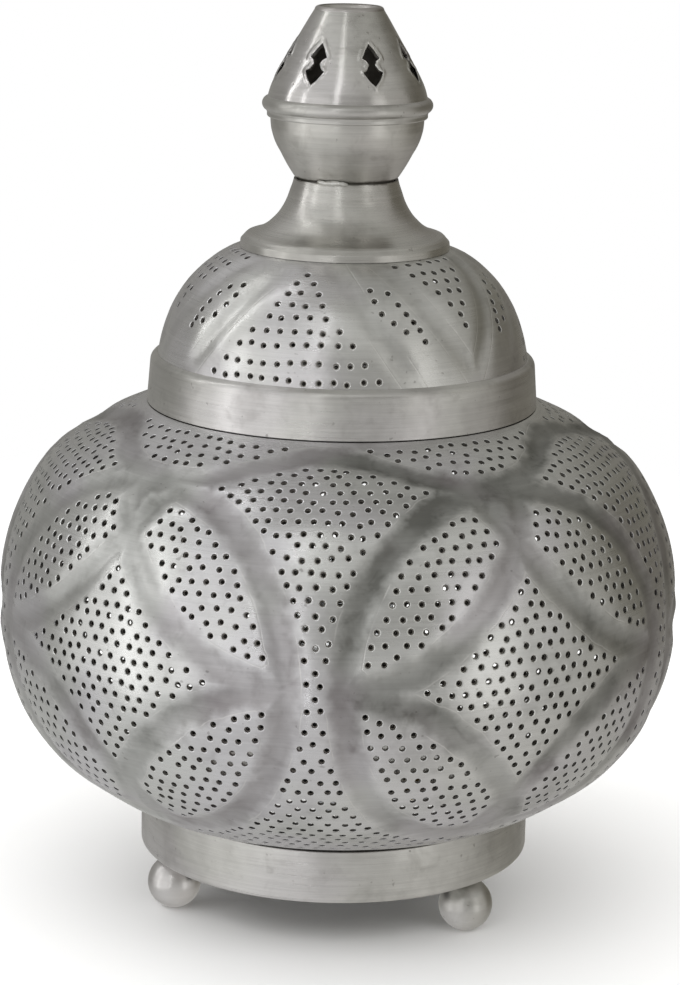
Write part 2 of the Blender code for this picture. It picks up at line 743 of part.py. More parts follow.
def make_feet():
    """Ball feet, each faced flat where it stands, with a short neck and a blind hole for its screw."""
    flat_angle = -math.degrees(math.acos(FOOT_FLAT_R / BALL_R))
    neck_angle = math.degrees(math.acos(FOOT_NECK_R / BALL_R))
    neck_top = RING_Z0 - CLEAR
    bore_r = FIXING_R + CLEAR
    outline = [(0.0, BALL_Z), (bore_r, BALL_Z), (bore_r, neck_top), (FOOT_NECK_R, neck_top)]
    outline += arc(0.0, BALL_Z, BALL_R, neck_angle, flat_angle, 7) + [(0.0, 0.0)]
    places = [placed(FOOT_AZIMUTH + 360 / FOOT_COUNT * i, FOOT_CIRCLE_R) for i in range(FOOT_COUNT)]
    repeated("foot", spun(outline, AROUND_TINY, 0, False), SILVERED, places)
    head = RING_Z0 + RING_SHEET + CLEAR
    tip = BALL_Z + 0.0010
    screw = [(0.0, head + 0.0022), (0.0030, head + 0.0018), (0.0038, head), (FIXING_R, head), (FIXING_R, tip),
             (0.0, tip)]
    repeated("foot_screw", spun(screw, 8, 0, False), ZINC, places)


def hexagon_nut(across_flats, bore_r, z0, height):
    """A six-sided nut with a round bore."""
    corner = across_flats / 2 / math.cos(math.radians(30))
    bm = spun(tube(corner, bore_r, z0, z0 + height), 12)
    for vert in bm.verts:
        side = round(math.degrees(math.atan2(vert.co.x, -vert.co.y)) / 30)
        if side % 2 and math.hypot(vert.co.x, vert.co.y) > (corner + bore_r) / 2:
            vert.co.xy *= math.cos(math.radians(30))
    return bm


def make_strap():
    """The strap across the ring, with its fixings, and the earth terminal on it."""
    reach = RING_R - RING_SHEET - STRAP_END_GAP
    bm = bmesh.new()
    bmesh.ops.create_cube(bm, size=1.0)
    bmesh.ops.scale(bm, vec=(2 * reach, STRAP_W, STRAP_T), verts=bm.verts)
    bmesh.ops.translate(bm, vec=(0, 0, (STRAP_Z0 + STRAP_Z1) / 2), verts=bm.verts)
    upright = [e for e in bm.edges if abs(e.verts[0].co.z - e.verts[1].co.z) > STRAP_T / 2]
    bmesh.ops.bevel(bm, geom=upright, offset=0.0040, segments=2, affect="EDGES", profile=0.5)
    strap = finish("socket_bridge", bm, ZINC)
    earth_x = BRIDGE_SCREW_X / 2
    holes = [spun(rod(NIPPLE_R + CLEAR, STRAP_Z0 - 0.002, STRAP_Z1 + 0.002), AROUND_TINY, 0, False)]
    for x in (-BRIDGE_SCREW_X, BRIDGE_SCREW_X, earth_x):
        hole = spun(rod(FIXING_R + CLEAR, STRAP_Z0 - 0.002, STRAP_Z1 + 0.002), 6, 0, False)
        hole.transform(Matrix.Translation((x, 0, 0)))
        holes.append(hole)
    cut(strap, cutter("strap_holes", joined(holes)))

    head = STRAP_Z0 - CLEAR
    nut_z = RING_Z1 + CLEAR
    fixing_places = [Matrix.Translation((side * BRIDGE_SCREW_X, 0, 0)) for side in (-1, 1)]
    earth_place = Matrix.Translation((earth_x, 0, 0))
    repeated("bridge_screw", strap_screw(head, nut_z + NUT_H + 0.0010), ZINC, fixing_places)
    repeated("bridge_nut", hexagon_nut(0.0070, FIXING_R + CLEAR, nut_z, NUT_H), ZINC, fixing_places)
    earth_tip = STRAP_Z1 + CLEAR + NUT_H + 0.0010
    finish("earth_screw", strap_screw(head, earth_tip), BRASS, place=earth_place)
    finish("earth_nut", hexagon_nut(0.0070, FIXING_R + CLEAR, STRAP_Z1 + CLEAR, NUT_H), BRASS, place=earth_place)


def strap_screw(head, tip):
    """A screw that comes up from under the strap."""
    outline = [(0.0, tip), (FIXING_R, tip), (FIXING_R, head), (0.0038, head), (0.0030, head - 0.0020),
               (0.0, head - 0.0022)]
    return spun(outline, 8, 0, False)


def make_lampholder():
    """The lampholder on its threaded nipple, from the strap upwards."""
    washer_t = 0.0010
    washer_z = STRAP_Z0 - CLEAR - washer_t
    lower_nut_z = washer_z - CLEAR - NUT_H
    upper_nut_z = HOLDER_Z + CAP_FLOOR + CLEAR
    nipple_top = upper_nut_z + NUT_H + 0.0010
    bore = NIPPLE_R + CLEAR
    lathe("threaded_nipple", tube(NIPPLE_R, NIPPLE_BORE_R, STRAP_Z0 - NIPPLE_BELOW, nipple_top),
          AROUND_TINY, ZINC)
    lathe("nipple_washer", tube(0.0088, bore, washer_z, washer_z + washer_t), AROUND_TINY, ZINC)
    finish("nipple_nut_lower", hexagon_nut(0.0140, bore, lower_nut_z, NUT_H), ZINC)
    finish("nipple_nut_upper", hexagon_nut(0.0140, bore, upper_nut_z, NUT_H), ZINC)

    inner = HOLDER_R - HOLDER_WALL
    ledge_r = inner - 0.0019
    ledge_z = nipple_top + 0.0004
    cap_top = HOLDER_Z + CAP_H
    cap = [(HOLDER_R, cap_top), (HOLDER_R, HOLDER_Z + 0.0020), (HOLDER_R - 0.0020, HOLDER_Z), (bore, HOLDER_Z),
           (bore, HOLDER_Z + CAP_FLOOR), (ledge_r, HOLDER_Z + CAP_FLOOR), (ledge_r, ledge_z),
           (inner, ledge_z), (inner, cap_top)]
    lathe("lampholder_cap", cap, 16, PLASTIC)

    insert_z = ledge_z + CLEAR
    insert_top = insert_z + INSERT_H
    insert_r = inner - 2 * CLEAR
    lathe("lampholder_insert", rod(insert_r, insert_z, insert_top), 16, CERAMIC, closed=False)

    sleeve_z = insert_top + CLEAR
    sleeve_out = SLEEVE_R + SLEEVE_T
    sleeve = [(sleeve_out, sleeve_z + SLEEVE_H), (sleeve_out, sleeve_z + SLEEVE_T),
              (sleeve_out + 0.0010, sleeve_z + SLEEVE_T), (sleeve_out + 0.0010, sleeve_z),
              (SLEEVE_R, sleeve_z), (SLEEVE_R, sleeve_z + SLEEVE_H)]
    lathe("lampholder_sleeve", sleeve, AROUND_TINY, BRASS)

    shell_z = cap_top + CLEAR
    shell_top = shell_z + SHELL_H
    mouth = sleeve_out + 2 * CLEAR
    shell = [(HOLDER_R - 0.0010, shell_top), (HOLDER_R, shell_top - 0.0010), (HOLDER_R, shell_z), (inner, shell_z),
             (inner, shell_top - 0.0016), (mouth, shell_top - 0.0016), (mouth, shell_top)]
    lathe("lampholder_shell", shell, 16, PLASTIC)

    bm = bmesh.new()
    bmesh.ops.create_cube(bm, size=1.0)
    bmesh.ops.scale(bm, vec=(0.0070, 0.0034, CONTACT_H), verts=bm.verts)
    bmesh.ops.translate(bm, vec=(0, 0, sleeve_z + CONTACT_H / 2), verts=bm.verts)
    rising = [v for v in bm.verts if v.co.x > 0]
    bmesh.ops.scale(bm, vec=(0.6, 0.8, 1.0), verts=rising)
    finish("centre_contact", bm, BRASS)

    terminal_y = (sleeve_out + inner) / 2 + 0.0004
    places = [Matrix.Translation((0, side * terminal_y, 0)) for side in (-1, 1)]
    repeated("terminal_screw", spun(rod(0.0015, sleeve_z, sleeve_z + 0.0020), 8, 0, False), BRASS, places)
    return sleeve_z + CONTACT_H + CLEAR


def make_bulb(tip_z):
    """The round bulb, from the contact at its tip to the top of its glass."""
    tip_h, insulator_h = 0.0015, 0.0030
    lathe("bulb_contact", rod(0.0023, tip_z, tip_z + tip_h), 8, SOLDERED, closed=False)
    insulator_z = tip_z + tip_h + CLEAR
    cone = [(0.0, insulator_z + insulator_h), (0.0058, insulator_z + insulator_h), (0.0032, insulator_z),
            (0.0, insulator_z)]
    lathe("bulb_insulator", cone, AROUND_TINY, PLASTIC, closed=False)
    cap_z = insulator_z + insulator_h + CLEAR
    cap_top = cap_z + BULB_CAP_H
    wall = 0.0004
    cap = [(BULB_CAP_R, cap_top), (BULB_CAP_R, cap_z + 0.0010), (BULB_CAP_R - 0.0010, cap_z), (0.0030, cap_z),
           (0.0030, cap_z + wall), (BULB_CAP_R - wall, cap_z + 0.0010 + wall), (BULB_CAP_R - wall, cap_top)]
    lathe("bulb_cap", cap, AROUND_TINY, ZINC)

    centre_z = tip_z + BULB_LENGTH - BULB_R
    neck_z = cap_top - 0.0040
    throat = -58.0
    bowl = arc(0.0, centre_z, BULB_R, 90.0, throat, 6)
    outer = bowl + [(BULB_NECK_R + 0.0012, (bowl[-1][1] + cap_top) / 2), (BULB_NECK_R, cap_top), (BULB_NECK_R, neck_z)]
    outer[0] = (0.0, centre_z + BULB_R)
    inner = inward(outer, BULB_GLASS)
    inner[0] = (0.0, centre_z + BULB_R - BULB_GLASS)
    lathe("bulb_glass", outer + inner[::-1], 18, GLASS, closed=False)

    stem_z = cap_top - 0.0030
    stem = [(0.0, stem_z + 0.0160), (0.0016, stem_z + 0.0150), (0.0022, stem_z + 0.0040), (0.0046, stem_z),
            (0.0, stem_z)]
    lathe("bulb_stem", stem, 8, GLASS, closed=False)

    wire = bpy.data.curves.new("bulb_filament", "CURVE")
    wire.dimensions = "3D"
    wire.bevel_depth = 0.0003
    wire.bevel_resolution = 0
    wire.use_fill_caps = True
    run = wire.splines.new("POLY")
    arms_z = stem_z + 0.0160 + 2 * CLEAR
    span = 0.0070
    places = [(-0.0006, arms_z), (-span, arms_z + 0.0120)]
    places += [(-span + 2 * span * i / 6, arms_z + 0.0120 + 0.0016 * math.sin(math.pi * i / 6)) for i in range(1, 6)]
    places += [(span, arms_z + 0.0120), (0.0006, arms_z)]
    run.points.add(len(places) - 1)
    for point, (x, z) in zip(run.points, places):
        point.co = (x, 0.0, z, 1.0)
    wire.materials.append(material(*TUNGSTEN))
    add_object("bulb_filament", wire)


def make_collar():
    """The lid's collar band, with a rounded shoulder and an inward lip that carries the dome."""
    round_start = COLLAR_Z1 - COLLAR_ROUND
    shoulder = arc(COLLAR_TOP_R - COLLAR_ROUND, round_start, COLLAR_ROUND, 90, 0, 3)
    outer = [(COLLAR_TOP_R - COLLAR_LIP_W, COLLAR_Z1)] + shoulder + [(COLLAR_R, COLLAR_Z0)]
    return lathe("lid_collar", shell_outline(outer), AROUND, SILVERED, PATTERN_AZIMUTH)


def make_neck():
    """The flared neck, with its rounded lip on the dome."""
    z0 = neck_foot_z()
    step_r = NECK_FOOT_R - 0.0018
    flare_z = z0 + NECK_LIP_H
    top_z = z0 + NECK_H
    rise = top_z - flare_z
    spread = step_r - NECK_TOP_R
    flare = [(0.96, 0.013), (0.70, 0.09), (0.44, 0.25), (0.22, 0.49), (0.08, 0.78), (0.0, 1.0)]
    outer = [(NECK_TOP_R + spread * out, flare_z + rise * up) for out, up in flare][::-1]
    outer += [(step_r, flare_z - 0.0004), (NECK_FOOT_R, z0 + 0.0018), (NECK_FOOT_R, z0)]
    lathe("lid_neck", shell_outline(outer), AROUND_SMALL, SILVERED)
    return top_z


def neck_foot_z():
    """Height at which the neck's foot clears the dome."""
    points = swelling((DOME_MOUTH_R, DOME_Z1), (DOME_FOOT_R, DOME_Z0), DOME_SWELL)
    profile = Profile(smooth_curve(points, 8))
    inner_r = NECK_FOOT_R - SHEET
    s = np.interp(inner_r, profile.points[:, 0], profile.lengths)
    return float(profile.at(s)[1]) + CLEAR


def make_finial(neck_top):
    """The bowl, the pierced cone and the solder patch at the joint under the bowl."""
    z0 = neck_top + FINIAL_GAP
    rim_z = z0 + BOWL_H
    spread = BOWL_R - NECK_TOP_R
    swell = [(1.0, 1.0), (0.96, 0.80), (0.82, 0.60), (0.57, 0.40), (0.28, 0.18), (0.0, 0.0)]
    outer = [(BOWL_R, rim_z + BOWL_LAP)] + [(NECK_TOP_R + spread * out, z0 + BOWL_H * up) for out, up in swell]
    spigot_r = NECK_TOP_R - SHEET - 2 * CLEAR
    outer += [(spigot_r, z0 - 0.0003), (spigot_r, z0 - SPIGOT_L)]
    lathe("finial_bowl", shell_outline(outer), AROUND_SMALL, SILVERED)

    top_z = rim_z + SKIRT_H + 2 * BEAD_R + CONE_H
    bead_z = rim_z + SKIRT_H + BEAD_R
    bead = arc(CONE_FOOT_R, bead_z, BEAD_R, 72, -72, 3)
    skirt_r = BOWL_R + CLEAR + SHEET
    lip = 0.0018
    outer = [(CONE_TOP_R - lip, top_z), (CONE_TOP_R, top_z - 0.0014),
             (CONE_TOP_R + (CONE_FOOT_R - CONE_TOP_R) * 0.90, top_z - CONE_H * 0.84),
             (CONE_FOOT_R, top_z - CONE_H)]
    outer += bead
    outer += [(skirt_r, rim_z + SKIRT_H - 0.0006), (skirt_r, rim_z)]
    cone = lathe("finial_cone", shell_outline(outer, SHEET * 0.9), AROUND_SMALL, SILVERED)
    cut(cone, cutter("cone_motifs", joined([motif(i, top_z) for i in range(MOTIF_COUNT)])))

    patch_z = neck_top - 0.0008
    inner_r = NECK_TOP_R + 0.0008
    bm = bmesh.new()
    steps = 4
    outline = [(inner_r, patch_z), (inner_r + SOLDER_T, patch_z), (inner_r + SOLDER_T, patch_z + SOLDER_H),
               (inner_r + 0.0002, patch_z + SOLDER_H)]
    rings = []
    for i in range(steps + 1):
        a = math.radians(SOLDER_AZIMUTH + SOLDER_SPAN * (i / steps - 0.5))
        rings.append([bm.verts.new((r * math.sin(a), -r * math.cos(a), z)) for r, z in outline])
    for one, two in zip(rings, rings[1:]):
        for k in range(4):
            bm.faces.new((one[k], two[k], two[k - 3], one[k - 3]))
    bm.faces.new(rings[0])
    bm.faces.new(rings[-1][::-1])
    bmesh.ops.recalc_face_normals(bm, faces=bm.faces)
    finish("neck_solder", bm, SOLDERED)


def motif(number, top_z):
    """A cutter for one double arrow, two heads that meet at a narrow waist."""
    half_w, half_l, waist = MOTIF_W / 2, MOTIF_L / 2, MOTIF_WAIST / 2
    right = [(0.0, half_l), (half_w * 0.60, half_l * 0.66), (half_w, half_l * 0.30), (waist * 1.5, half_l * 0.15),
             (waist, -half_l * 0.03), (waist * 1.5, -half_l * 0.22), (half_w * 0.94, -half_l * 0.36),
             (half_w * 0.45, -half_l * 0.70), (0.0, -half_l)]
    outline = right + [(-x, y) for x, y in right[1:-1]][::-1]
    bm = bmesh.new()
    slope = math.atan2(CONE_FOOT_R - CONE_TOP_R, CONE_H)
    face = bm.faces.new([bm.verts.new((x, 0.0, y)) for x, y in outline])
    made = bmesh.ops.extrude_face_region(bm, geom=[face])
    moved = [v for v in made["geom"] if isinstance(v, bmesh.types.BMVert)]
    bmesh.ops.translate(bm, vec=(0, 0.0140, 0), verts=moved)
    bmesh.ops.recalc_face_normals(bm, faces=bm.faces)
    centre_r = CONE_TOP_R + (CONE_FOOT_R - CONE_TOP_R) * MOTIF_CENTRE
    centre_z = top_z - CONE_H * MOTIF_CENTRE
    tilt = Matrix.Rotation(-slope, 4, "X")
    out = Matrix.Translation((0, -centre_r - 0.0070, centre_z))
    turn = Matrix.Rotation(math.radians(MOTIF_AZIMUTH + 360 / MOTIF_COUNT * number), 4, "Z")
    bm.transform(turn @ out @ tilt)
    return bm


def main():
    """Build every piece, from the table upwards."""
    for old in list(bpy.data.objects):
        bpy.data.objects.remove(old)
    for key, name in (("lid_", "lid_body"), ("finial_", "lid_body"), ("neck_", "lid_body"),
                      ("bulb_", "bulb_body"), ("lamp", "lamp_body")):
        if name not in bpy.data.objects:
            bpy.context.scene.collection.objects.link(bpy.data.objects.new(name, None))
        bodies[key] = bpy.data.objects[name]
    make_feet()
    make_ring()
    make_grommet()
    make_strap()
    tip_z = make_lampholder()
    make_bulb(tip_z)
    make_globe()
    make_collar()
    make_dome()
    neck_top = make_neck()
    make_finial(neck_top)


bodies = {}
main()
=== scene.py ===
"""The pierced oriental table lamp, dressed for its photograph.

Metres, +Z up, the lamp's front towards -Y. Azimuths count from the front and turn towards +X. Lengths along
a form, called s here, run down its outside from the top.
"""

import json
import math

import bpy
import numpy as np
from mathutils import Matrix, Vector
from mathutils.geometry import delaunay_2d_cdt


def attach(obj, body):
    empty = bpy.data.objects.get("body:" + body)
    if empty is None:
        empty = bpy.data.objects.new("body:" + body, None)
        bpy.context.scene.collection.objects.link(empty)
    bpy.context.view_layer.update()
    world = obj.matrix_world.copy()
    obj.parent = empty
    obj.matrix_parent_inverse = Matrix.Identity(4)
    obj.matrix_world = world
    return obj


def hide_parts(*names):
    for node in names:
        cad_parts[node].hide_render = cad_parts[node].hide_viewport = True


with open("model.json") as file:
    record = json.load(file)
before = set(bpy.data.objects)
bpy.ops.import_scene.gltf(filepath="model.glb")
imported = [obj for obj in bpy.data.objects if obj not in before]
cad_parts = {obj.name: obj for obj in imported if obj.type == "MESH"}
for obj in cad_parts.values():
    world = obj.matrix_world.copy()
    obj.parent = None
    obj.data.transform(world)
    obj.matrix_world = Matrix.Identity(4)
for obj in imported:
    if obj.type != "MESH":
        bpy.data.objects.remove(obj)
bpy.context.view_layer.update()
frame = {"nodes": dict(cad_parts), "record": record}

# Sizes shared with the solids
CLEAR = 0.0003
WELD = 0.000001
SHEET = 0.0010
RING_SHEET = 0.0012
BALL_R = 0.0104
FOOT_INSET = 0.0100
FOOT_FLAT_R = 0.0020
FOOT_NECK_R = 0.0042
FOOT_NECK_H = 0.0016
FOOT_AZIMUTH = -69.0
RING_R = 0.0764
RING_H = 0.0212
RING_SAG = 0.0009
RING_SAG_AZIMUTH = 4.0
RING_SAG_SPAN = 50.0
FLANGE_W = 0.0200
BELLY_R = 0.1320
BELLY_Z = 0.1200
SHOULDER_Z = 0.1990
FOOT_RIM_W = 0.0104
FOOT_RIM_RISE = 0.0007
FOOT_RIM_LEAD = 0.0030
UPSTAND_H = 0.0080
UPSTAND_GAP = 0.0014
COLLAR_R = 0.0750
COLLAR_TAPER = 0.0015
COLLAR_H = 0.0200
COLLAR_LIP_W = 0.0050
DOME_SETBACK = 0.0029
DOME_H = 0.0402
DOME_MOUTH_R = 0.0360
NECK_FOOT_R = 0.0401
NECK_LIP_H = 0.0041
NECK_TOP_R = 0.0198
NECK_H = 0.0256
FINIAL_GAP = 0.0009
# How far the painted shade and grime reach either side of the seam under the bowl
SEAM_SHADE_REACH = 0.0011
BOWL_R = 0.0291
BOWL_H = 0.0224
SPIGOT_L = 0.0070
CONE_TOP_R = 0.0136
CONE_FOOT_R = 0.0304
CONE_H = 0.0340
BEAD_R = 0.0026
SKIRT_H = 0.0022
BOWL_LAP = 0.0030

BALL_Z = math.sqrt(BALL_R ** 2 - FOOT_FLAT_R ** 2)
RING_Z0 = BALL_Z + BALL_R + FOOT_NECK_H
RING_Z1 = RING_Z0 + RING_H
GLOBE_FOOT_Z = RING_Z1 + CLEAR
UPSTAND_Z = SHOULDER_Z + UPSTAND_H
UPSTAND_R = COLLAR_R - SHEET - UPSTAND_GAP
COLLAR_TOP_R = COLLAR_R - COLLAR_TAPER
COLLAR_Z0 = SHOULDER_Z + CLEAR
COLLAR_Z1 = COLLAR_Z0 + COLLAR_H
DOME_FOOT_R = COLLAR_TOP_R - DOME_SETBACK
DOME_Z0 = COLLAR_Z1 + 2 * CLEAR
DOME_Z1 = DOME_Z0 + DOME_H

# Pattern of the globe
REPEATS = 5
PATTERN_AZIMUTH = -3.5
COMPASS = 0.0717
CIRCLE_MID_Z = 0.1200
CIRCLE_UP_Z = 0.1860
CIRCLE_LOW_Z = 0.0575
SCALLOP_Z = 0.1955
SCALLOP_RISE = 0.0090
GROOVE_HALF = 0.0064
GROOVE_DEPTH = 0.0013
GROOVE_END_TOP = 0.0012
GROOVE_FADE_TOP = 0.004
GROOVE_END_FOOT = 0.003
GROOVE_FADE_FOOT = 0.008
HOLE_R = 0.00122
# The lining's holes are smaller than the skin's, so the darkened lining shows as a dark ring in each opening:
# painted shade inside the holes
LINING_HOLE_R = 0.72 * HOLE_R
HOLE_SIDES = 8
LINING_HOLE_SIDES = 6
HOLE_RIM = 1.40
HOLE_DISH = 0.00026
HOLE_MARGIN = 0.0074
HOLE_PITCH = 0.0054
ROW_PITCH = 0.0047
SEED_MARGIN = 0.80 * HOLE_MARGIN
SEEDS_TOP = 0.0030
SEEDS_FOOT = 0.0130
HOLES_TOP = 0.0032
HOLES_FOOT = 0.0125
HOLE_GAP = 0.62 * HOLE_PITCH
GLOBE_DRIFT = 0.0011
JITTER = 0.0006
GLOBE_SOFTEN = 0.0035
GLOBE_COLUMNS = 24
# Grains: how far apart the loose points are and how far they keep clear, in the skin and in the lining
GLOBE_GRAINS = (0.0029, 0.0026), (0.0075, 0.0040)

# Pattern of the dome
DOME_REPEATS = 3
DOME_AZIMUTH = -16.0
DOME_GROOVE_DEPTH = 0.0008
DOME_GROOVE_HALF = 0.0052
DOME_GROOVE_TOP = 0.008
DOME_GROOVE_FOOT = 0.0041
# Slanted grooves: azimuth at the top and at the foot, and how far above the foot line they end
DOME_GROOVES = (10.5, 36.0, 0.0), (34.0, 54.5, 0.0075)
DOME_END_FOOT = 0.008
DOME_START_TOP = 0.005
DOME_END_TOP = 0.006
DOME_SLANT_R = 0.055
DOME_SKIRT = 0.0021
DOME_HOLE_PITCH = 0.0055
DOME_HOLE_GAP = 0.0032
DOME_DRIFT = 0.0007
DOME_SOFTEN = 0.0020
DOME_COLUMNS = 28
DOME_GRAINS = (0.0024, 0.0024), (0.0060, 0.0036)
# Rows of holes: share of the dome's height, and how many
UPRIGHT_ROWS = ((0.880, 1), (0.815, 2), (0.740, 3), (0.652, 4), (0.537, 5), (0.426, 7), (0.306, 9),
                (0.150, 11), (-0.004, 13))
HANGING_ROWS = ((0.950, 6), (0.884, 5), (0.815, 4), (0.740, 3), (0.632, 2), (0.540, 1), (0.452, 1))
# Rows down a leaf: azimuth and share of the height at both ends, how many, and the bow in degrees
LEAF_ROWS = (((26.0, 0.770), (37.0, 0.420), 5, -2.0), ((32.5, 0.740), (42.5, 0.350), 6, 2.0))

# Pattern of the cone
CONE_REPEATS = 7
CONE_AZIMUTH = -29.7
CONE_SOFTEN = 0.0012
CONE_COLUMNS = 18
CONE_GRAINS = (0.0008, 0.00045), (0.0030, 0.0012)
CONE_DISH = 0.00025
CONE_WALL = 1.2 * SHEET
MOTIF_PLACE = 0.58
MOTIF_RIM_H = 0.00036
MOTIF_RIM_AWAY = 0.0007
MOTIF_RIM_HALF = 0.0006
# Corners of half a double arrow: across, down, and the steps to the next corner
MOTIF = ((0.0, -0.0086, 3), (0.0021, -0.0060, 2), (0.0038, -0.0026, 3), (0.0023, -0.0016, 4),
         (0.00125, 0.0, 4), (0.0021, 0.0020, 3), (0.0036, 0.0031, 3), (0.0018, 0.0062, 2), (0.0, 0.0086, 1))

# Sizes of the plain pieces that only show here
LIP_R = 0.0016
LIP_INSET = 0.0021
CONE_HOLE_R = CONE_TOP_R - 0.0034
NECK_STEP = 0.0018
COLLAR_SHOULDER = 0.0016
COLLAR_ROUND = 0.0030
SOLDER_AZIMUTH = -16.0
SOLDER_SPAN = 38.0
SOLDER_H = 0.0022
SOLDER_T = 0.00035
FINE_SEGMENTS = 240
SEGMENTS = 180
FOOT_SEGMENTS = 64
SHARP_ANGLE = 40.0

# Curves of the forms, as shares of the height and of the swell
SHOULDER_SWELL = ((0.0, 0.0), (0.035, 0.105), (0.09, 0.28), (0.15, 0.44), (0.27, 0.66),
                  (0.41, 0.795), (0.60, 0.915), (0.80, 0.981), (1.0, 1.0))
UNDERSIDE_SWELL = ((0.0, 0.0), (0.03, 0.17), (0.08, 0.29), (0.14, 0.41), (0.24, 0.60),
                   (0.37, 0.75), (0.51, 0.862), (0.72, 0.956), (0.90, 0.995))
CONE_SWELL = ((0.041, -0.030), (0.17, 0.128), (0.432, 0.434), (0.697, 0.738), (0.87, 0.911), (1.0, 0.988))
DOME_SWELL = ((0.0, 0.0), (0.025, 0.10), (0.054, 0.214), (0.10, 0.325), (0.165, 0.44), (0.236, 0.538),
              (0.376, 0.694), (0.59, 0.85), (0.813, 0.948), (1.0, 1.0))
NECK_FLARE = ((1.0, 0.0), (0.90, 0.03), (0.78, 0.08), (0.63, 0.14), (0.49, 0.22), (0.36, 0.32), (0.25, 0.44),
              (0.16, 0.56), (0.09, 0.70), (0.048, 0.82), (0.013, 0.96))
BOWL_SWELL = ((1.0, 1.0), (0.91, 0.99), (0.80, 0.96), (0.70, 0.90), (0.60, 0.82), (0.50, 0.71), (0.40, 0.57),
              (0.29, 0.43), (0.18, 0.28), (0.08, 0.13), (0.01, 0.02))

# Tones of the plating, each cool one drifting between two hues
COOL_SILVER = (0.668, 0.663, 0.686, 1), (0.662, 0.668, 0.658, 1)
COOL_OXIDE = (0.212, 0.192, 0.197, 1), (0.190, 0.193, 0.182, 1)
WARM_SILVER = (0.66, 0.635, 0.585, 1)
WARM_OXIDE = (0.22, 0.20, 0.165, 1)
BRUSHED_LIGHTER = (1.16, 1.16, 1.16, 1)
SCRIBED = (0.80, 0.79, 0.77, 1)
PITTED = (0.14, 0.125, 0.11, 1)
STAINED = (0.16, 0.145, 0.13, 1)

# Finishes. A pierced one has the strength of its patina and painted shade and, in millimetres, its reach and
# its border.
PLAIN_FINISH = {"shade": 0.0, "brush": 1.0, "warmth": 0.3, "anisotropy": 0.35, "polish": 0.0, "pierced": None}
FINISHES = {
    "globe silver": {"shade": -0.05, "warmth": 0.05, "pierced": (0.86, 8.0, 5.6)},
    # The globe's inside is darkened well past its plating: painted shade for the shadow within the globe
    "globe inside": {"shade": 0.75, "warmth": 0.6},
    "globe mouth": {"shade": 0.1},
    "globe foot": {"shade": 0.25},
    "dome silver": {"shade": -0.04, "warmth": 0.15, "pierced": (0.15, 6.0, 4.6)},
    "dome inside": {"shade": 0.45, "warmth": 0.6},
    "neck silver": {"shade": 0.20, "brush": 1.3, "warmth": 0.45, "anisotropy": 0.6, "polish": 0.05},
    "bowl silver": {"shade": 0.20, "brush": 1.2, "warmth": 0.5, "anisotropy": 0.5},
    "cone silver": {"shade": 0.14, "brush": 0.9, "warmth": 0.4, "anisotropy": 0.75, "polish": 0.11,
                    "pierced": (0.0, 8.0, 5.0)},
    "cone inside": {"shade": 0.5, "warmth": 0.7},
    "lip silver": {"shade": 0.35, "brush": 0.8, "warmth": 0.5},
    "bead silver": {"shade": 0.24, "warmth": 0.4, "anisotropy": 0.5},
    "solder silver": {"shade": 0.10, "brush": 0.3, "warmth": 0.35, "anisotropy": 0.0},
    "collar silver": {"shade": 0.10, "brush": 1.5, "warmth": 0.35, "anisotropy": 0.55},
    "ring silver": {"shade": 0.10, "brush": 1.6, "warmth": 0.35, "anisotropy": 0.55},
    "foot silver": {"shade": 0.05, "brush": 0.5, "warmth": 0.4, "anisotropy": 0.1},
}
FAR_FROM_GROOVE = 20.0

# Floor, lights, room and camera
FLOOR_R = 0.85
FLOOR_FADE = (0.42, 0.80)
LAMP_MIDDLE = (0, 0, 0.16)
WHITE = (1.0, 1.0, 1.0)
# Soft boxes: name, azimuth, elevation, distance, size, radiance and tint
LAMP_LIGHTS = (
    ("left window", -62, 4, 1.9, (2.9, 2.0), 0.42, WHITE),
    ("left strip, high", -96, 44, 1.7, (0.08, 1.9), 3.6, WHITE),
    ("left strip, low", -69, 2, 1.7, (0.15, 1.8), 1.1, WHITE),
    ("front strip", -17, 22, 1.7, (0.06, 3.0), 2.6, WHITE),
    ("right window", 47, 4, 1.9, (0.60, 1.9), 0.46, (1.0, 0.99, 0.97)),
    ("right wall", 78, 4, 2.0, (1.7, 1.9), 0.17, (1.0, 0.99, 0.96)),
)
FLOOR_LIGHTS = (
    ("floor top", 0, 89.9, 1.6, (2.6, 2.6), 1.0, WHITE),
    ("floor side -90", -90, 42, 1.8, (2.6, 0.9), 1.15, WHITE),
    ("floor side 0", 0, 46, 1.8, (2.6, 0.9), 1.80, WHITE),
    ("floor side 90", 90, 42, 1.8, (2.6, 0.9), 0.85, WHITE),
    ("floor side 180", 180, 40, 1.8, (2.6, 0.9), 1.1, WHITE),
)
# Tones that the metal mirrors, on the left and on the right where there are two
WALL_TONE = (0.33, 0.325, 0.31, 1), (0.160, 0.150, 0.122, 1)
CEILING_TONE = (0.76, 0.76, 0.75, 1), (0.56, 0.555, 0.53, 1)
GROUND_TONE = (0.66, 0.66, 0.65, 1), (0.56, 0.545, 0.52, 1)
FRONT_TONE = (0.46, 0.455, 0.445, 1)
ZENITH_TONE = (0.40, 0.395, 0.375, 1)
LEVEL_TONE = (0.60, 0.595, 0.585, 1)
LENS = 111.37
SENSOR = 36.0
CAMERA_PLACE = (0.0, -1.1508, 0.4400)
CAMERA_DIP = 13.56
CAMERA_ROLL = 1.13


# Profiles

def swelling(end, belly, fractions):
    """Points between an end and the belly: each pair is a share of the height and of the swell."""
    (r0, z0), (r1, z1) = end, belly
    return [(r0 + (r1 - r0) * swell, z0 + (z1 - z0) * height) for height, swell in fractions]


